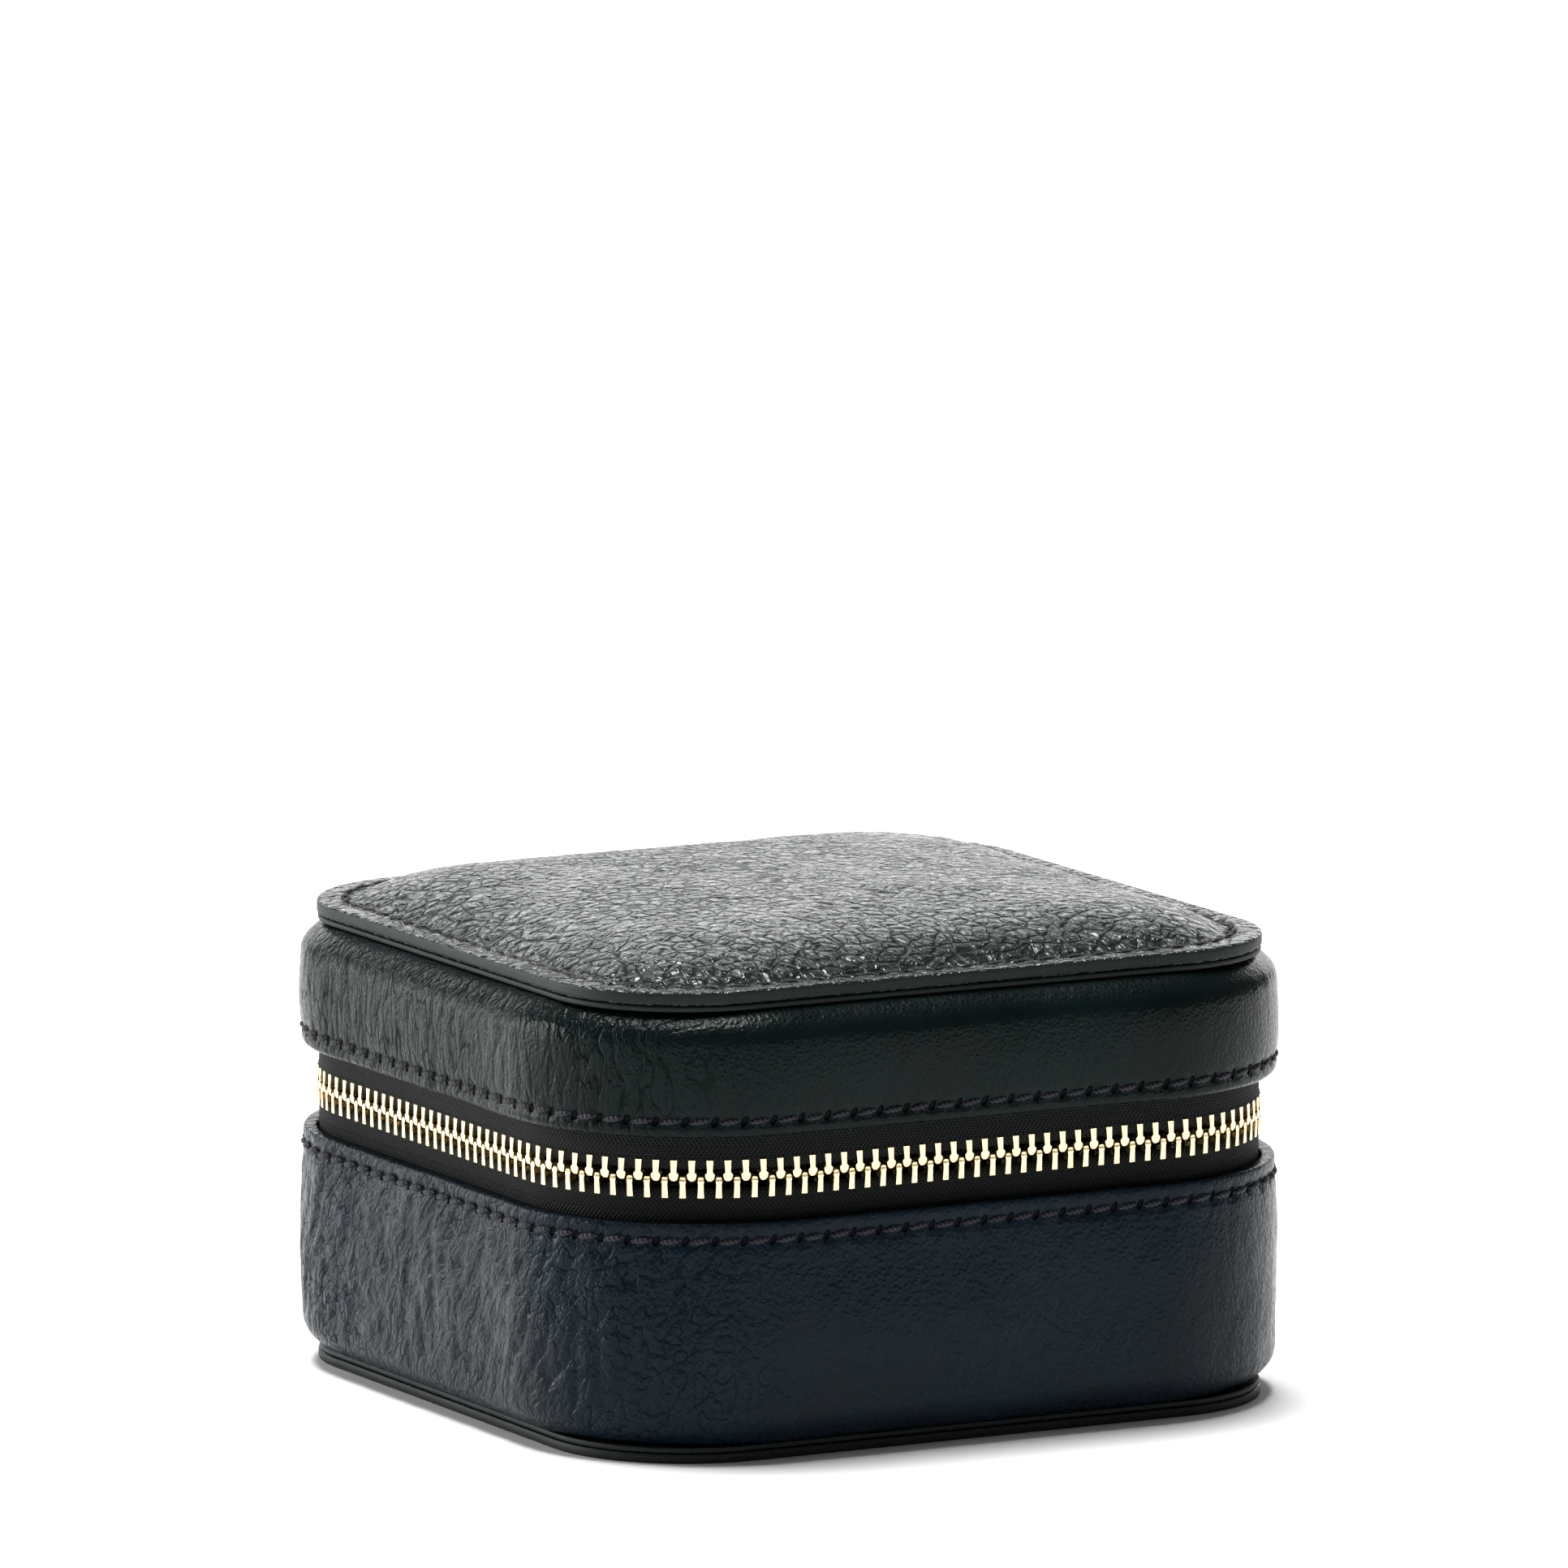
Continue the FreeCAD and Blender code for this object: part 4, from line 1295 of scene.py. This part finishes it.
upper_tape = tape_ring(upper_low.z, upper_high.z, False)
cut_out(upper_tape, -zip_end, split_x + 0.3 * mm, 0)
make_piece(upper_tape, "upper_tape", "lid", [tape_finish], ["upper_zip_tape"])

end_tape = tape_ring(upper_low.z, end_top, False)
keep_side(end_tape, (zip_end, 0, 0), (1, 0, 0))
keep_side(end_tape, (split_x, 0, 0), (-1, 0, 0))
keep_side(end_tape, (0, 0, 0), (0, 1, 0))
make_piece(end_tape, "upper_end_tape", "base", [tape_finish], ["upper_zip_end_tape"])

# %% [markdown]
# A tooth is a stamped bar.  Its legs clamp the tape, and its head is a little cup: a bump
# on one side and a hollow on the other, so that it locks into its neighbours.  There are
# hundreds, so each has only a few dozen faces: a bar with bevelled edges, a rounded
# head and a small shoulder on each side of it.

# %% One tooth
tooth_pitch = 2.33 * mm
tooth_wide = 0.98 * mm
tooth_deep = 1.3 * mm
tooth_long = (teeth_high.z - teeth_low.z)
first_tooth = 2.9 * mm


def tooth_shape(widths):
    """A tooth with its head up: X points away from the tape, Y along the zip.

    widths gives, for shares of the length, the width and the depth as shares of the bar's.
    """
    bm = bmesh.new()
    bmesh.ops.create_cube(bm, size=1)
    bmesh.ops.scale(bm, verts=bm.verts[:], vec=(tooth_deep, tooth_wide, tooth_long))
    foot = -tooth_long / 2
    for share in list(widths)[1:-1]:
        geom = bm.verts[:] + bm.edges[:] + bm.faces[:]
        bmesh.ops.bisect_plane(bm, geom=geom, plane_co=(0, 0, foot + share * tooth_long),
                               plane_no=(0, 0, 1), dist=1e-7)
    for vert in bm.verts:
        here = (vert.co.z - foot) / tooth_long
        wide, deep = widths[min(widths, key=lambda share: abs(share - here))]
        vert.co.y *= wide
        vert.co.x *= deep
    sharp = [e for e in bm.edges if e.calc_face_angle(0) > 0.7]
    bmesh.ops.bevel(bm, geom=sharp, offset=0.11 * mm, offset_type="OFFSET", segments=1,
                    profile=0.5, affect="EDGES", material=-1, clamp_overlap=True)
    bmesh.ops.translate(bm, verts=bm.verts[:], vec=(0, 0, teeth_low.z - chain_z - foot))
    mesh = bpy.data.meshes.new("tooth")
    bm.to_mesh(mesh)
    bm.free()
    return mesh


lower_tooth = tooth_shape({
    0.0: (0.88, 0.97), 0.66: (0.92, 0.97), 0.78: (1.10, 0.98), 0.90: (0.98, 0.96),
    1.0: (0.58, 0.84),
})
upper_tooth = tooth_shape({
    0.0: (0.94, 0.97), 0.56: (0.94, 0.97), 0.64: (1.48, 0.98), 0.75: (1.48, 0.98),
    0.84: (0.86, 0.94), 1.0: (0.66, 0.80),
})
upper_tooth.transform(Matrix.Rotation(math.pi, 4, "X"))
print("a tooth has", len(lower_tooth.polygons), "faces")

# %% Rows of teeth
chain_start = chain_line.along(Vector((zip_end, chain_line.half, 0)))
chain_end = chain_line.along(Vector((-zip_end, chain_line.half, 0)))
chain_length = chain_line.length - (chain_end - chain_start)
tooth_count = int((chain_length - 2 * first_tooth) / tooth_pitch)
fixed_teeth = 5


def row_of_teeth(name, body, mesh, offset, indices, replaces):
    """Stands teeth along the zip, from its right-hand end at the back."""
    bm = bmesh.new()
    for index in indices:
        along = chain_start - first_tooth - index * tooth_pitch - offset
        point, out = chain_line.at(along, 0.0, chain_z)
        forward = Vector((-out.y, out.x, 0))
        axes = Matrix((out, forward, Vector((0, 0, 1)))).transposed()
        wobble = noise.noise(Vector((index * 0.61, offset * 900, 41.0)))
        tilt = Matrix.Rotation(math.radians(1.2 * wobble), 3, "X")
        turn = (axes @ tilt).to_4x4()
        turn.translation = point
        before = len(bm.verts)
        bm.from_mesh(mesh)
        bm.verts.ensure_lookup_table()
        bmesh.ops.transform(bm, matrix=turn, verts=bm.verts[before:])
    piece = make_piece(bm, name, body, [brass], replaces, smooth=False)
    return piece


row_of_teeth("lower_teeth", "base", lower_tooth, 0.0, range(tooth_count), ["lower_zip_teeth"])
row_of_teeth("upper_teeth", "lid", upper_tooth, tooth_pitch / 2,
             range(fixed_teeth, tooth_count), ["upper_zip_teeth"])
row_of_teeth("upper_end_teeth", "base", upper_tooth, tooth_pitch / 2,
             range(fixed_teeth), ["upper_zip_end_teeth"])
print("teeth in a row:", tooth_count)

# %% [markdown]
# ## The room
#
# The case stands on a plain pale floor under soft light.  Black leather shows little of its own
# colour: what is seen is the room in its polish.  So a wide soft light hangs behind and
# to the left, where the top and the left side mirror it, and the front is left in shade.

# %% Floor and lights
floor_mesh = bmesh.new()
bmesh.ops.create_grid(floor_mesh, x_segments=1, y_segments=1, size=30)
floor_data = bpy.data.meshes.new("floor")
floor_mesh.to_mesh(floor_data)
floor_mesh.free()
floor = bpy.data.objects.new("floor", floor_data)
bpy.context.scene.collection.objects.link(floor)
floor_finish = Finish("pale_floor", Roughness=0.9, Specular_IOR_Level=0.0)
floor_finish.shader.inputs["Base Color"].default_value = (0.96, 0.96, 0.96, 1)
floor_data.materials.append(floor_finish.material)

world = bpy.data.worlds.new("studio")
world.use_nodes = True
world.node_tree.nodes["Background"].inputs["Color"].default_value = (1, 1, 1, 1)
world.node_tree.nodes["Background"].inputs["Strength"].default_value = 0.18
bpy.context.scene.world = world
bpy.context.scene.view_settings.view_transform = "Standard"


def lamp(name, kind, place, aim, energy, **settings):
    """A light at a place, aimed at a point."""
    data = bpy.data.lights.new(name, kind)
    data.energy = energy
    for key, value in settings.items():
        setattr(data, key, value)
    light = bpy.data.objects.new(name, data)
    light.location = place
    way = Vector(aim) - Vector(place)
    light.rotation_euler = way.to_track_quat("-Z", "Y").to_euler()
    bpy.context.scene.collection.objects.link(light)


lamp("overhead", "SUN", (-0.05, 0.35, 2.0), (0, 0, 0), 5.6, angle=math.radians(28))
lamp("left_window", "AREA", (-1.15, 1.05, 0.30), (0, 0, 0.03), 22.0, size=0.9)
lamp("back_wall", "AREA", (0.75, 1.5, 0.5), (0, 0, 0.05), 13.0, shape="RECTANGLE",
     size=2.2, size_y=0.8)

# %% [markdown]
# ## The camera
#
# The case is seen from its front left corner, a little from above, through a long lens
# that keeps its sides nearly parallel.  It sits low in the frame.

# %% Camera
azimuth = math.radians(-28.0)
elevation = math.radians(10.2)
distance = 2.5
subject = Vector((0, 0, 31.05 * mm))
back_way = Vector((math.sin(azimuth) * math.cos(elevation),
                   -math.cos(azimuth) * math.cos(elevation), math.sin(elevation)))
right_way = Vector((math.cos(azimuth), math.sin(azimuth), 0))
up_way = back_way.cross(right_way)
eye = subject + back_way * distance
aim = subject + up_way * (48.3 * mm) - right_way * (0.38 * mm)
camera_data = bpy.data.cameras.new("camera")
camera_data.lens = 428.9
camera_data.sensor_width = 36.0
camera_data.clip_end = 60.0
camera = bpy.data.objects.new("camera", camera_data)
camera.location = eye
camera.rotation_euler = (aim - eye).to_track_quat("-Z", "Y").to_euler()
bpy.context.scene.collection.objects.link(camera)
bpy.context.scene.camera = camera
print("lens", round(camera_data.lens), "mm")
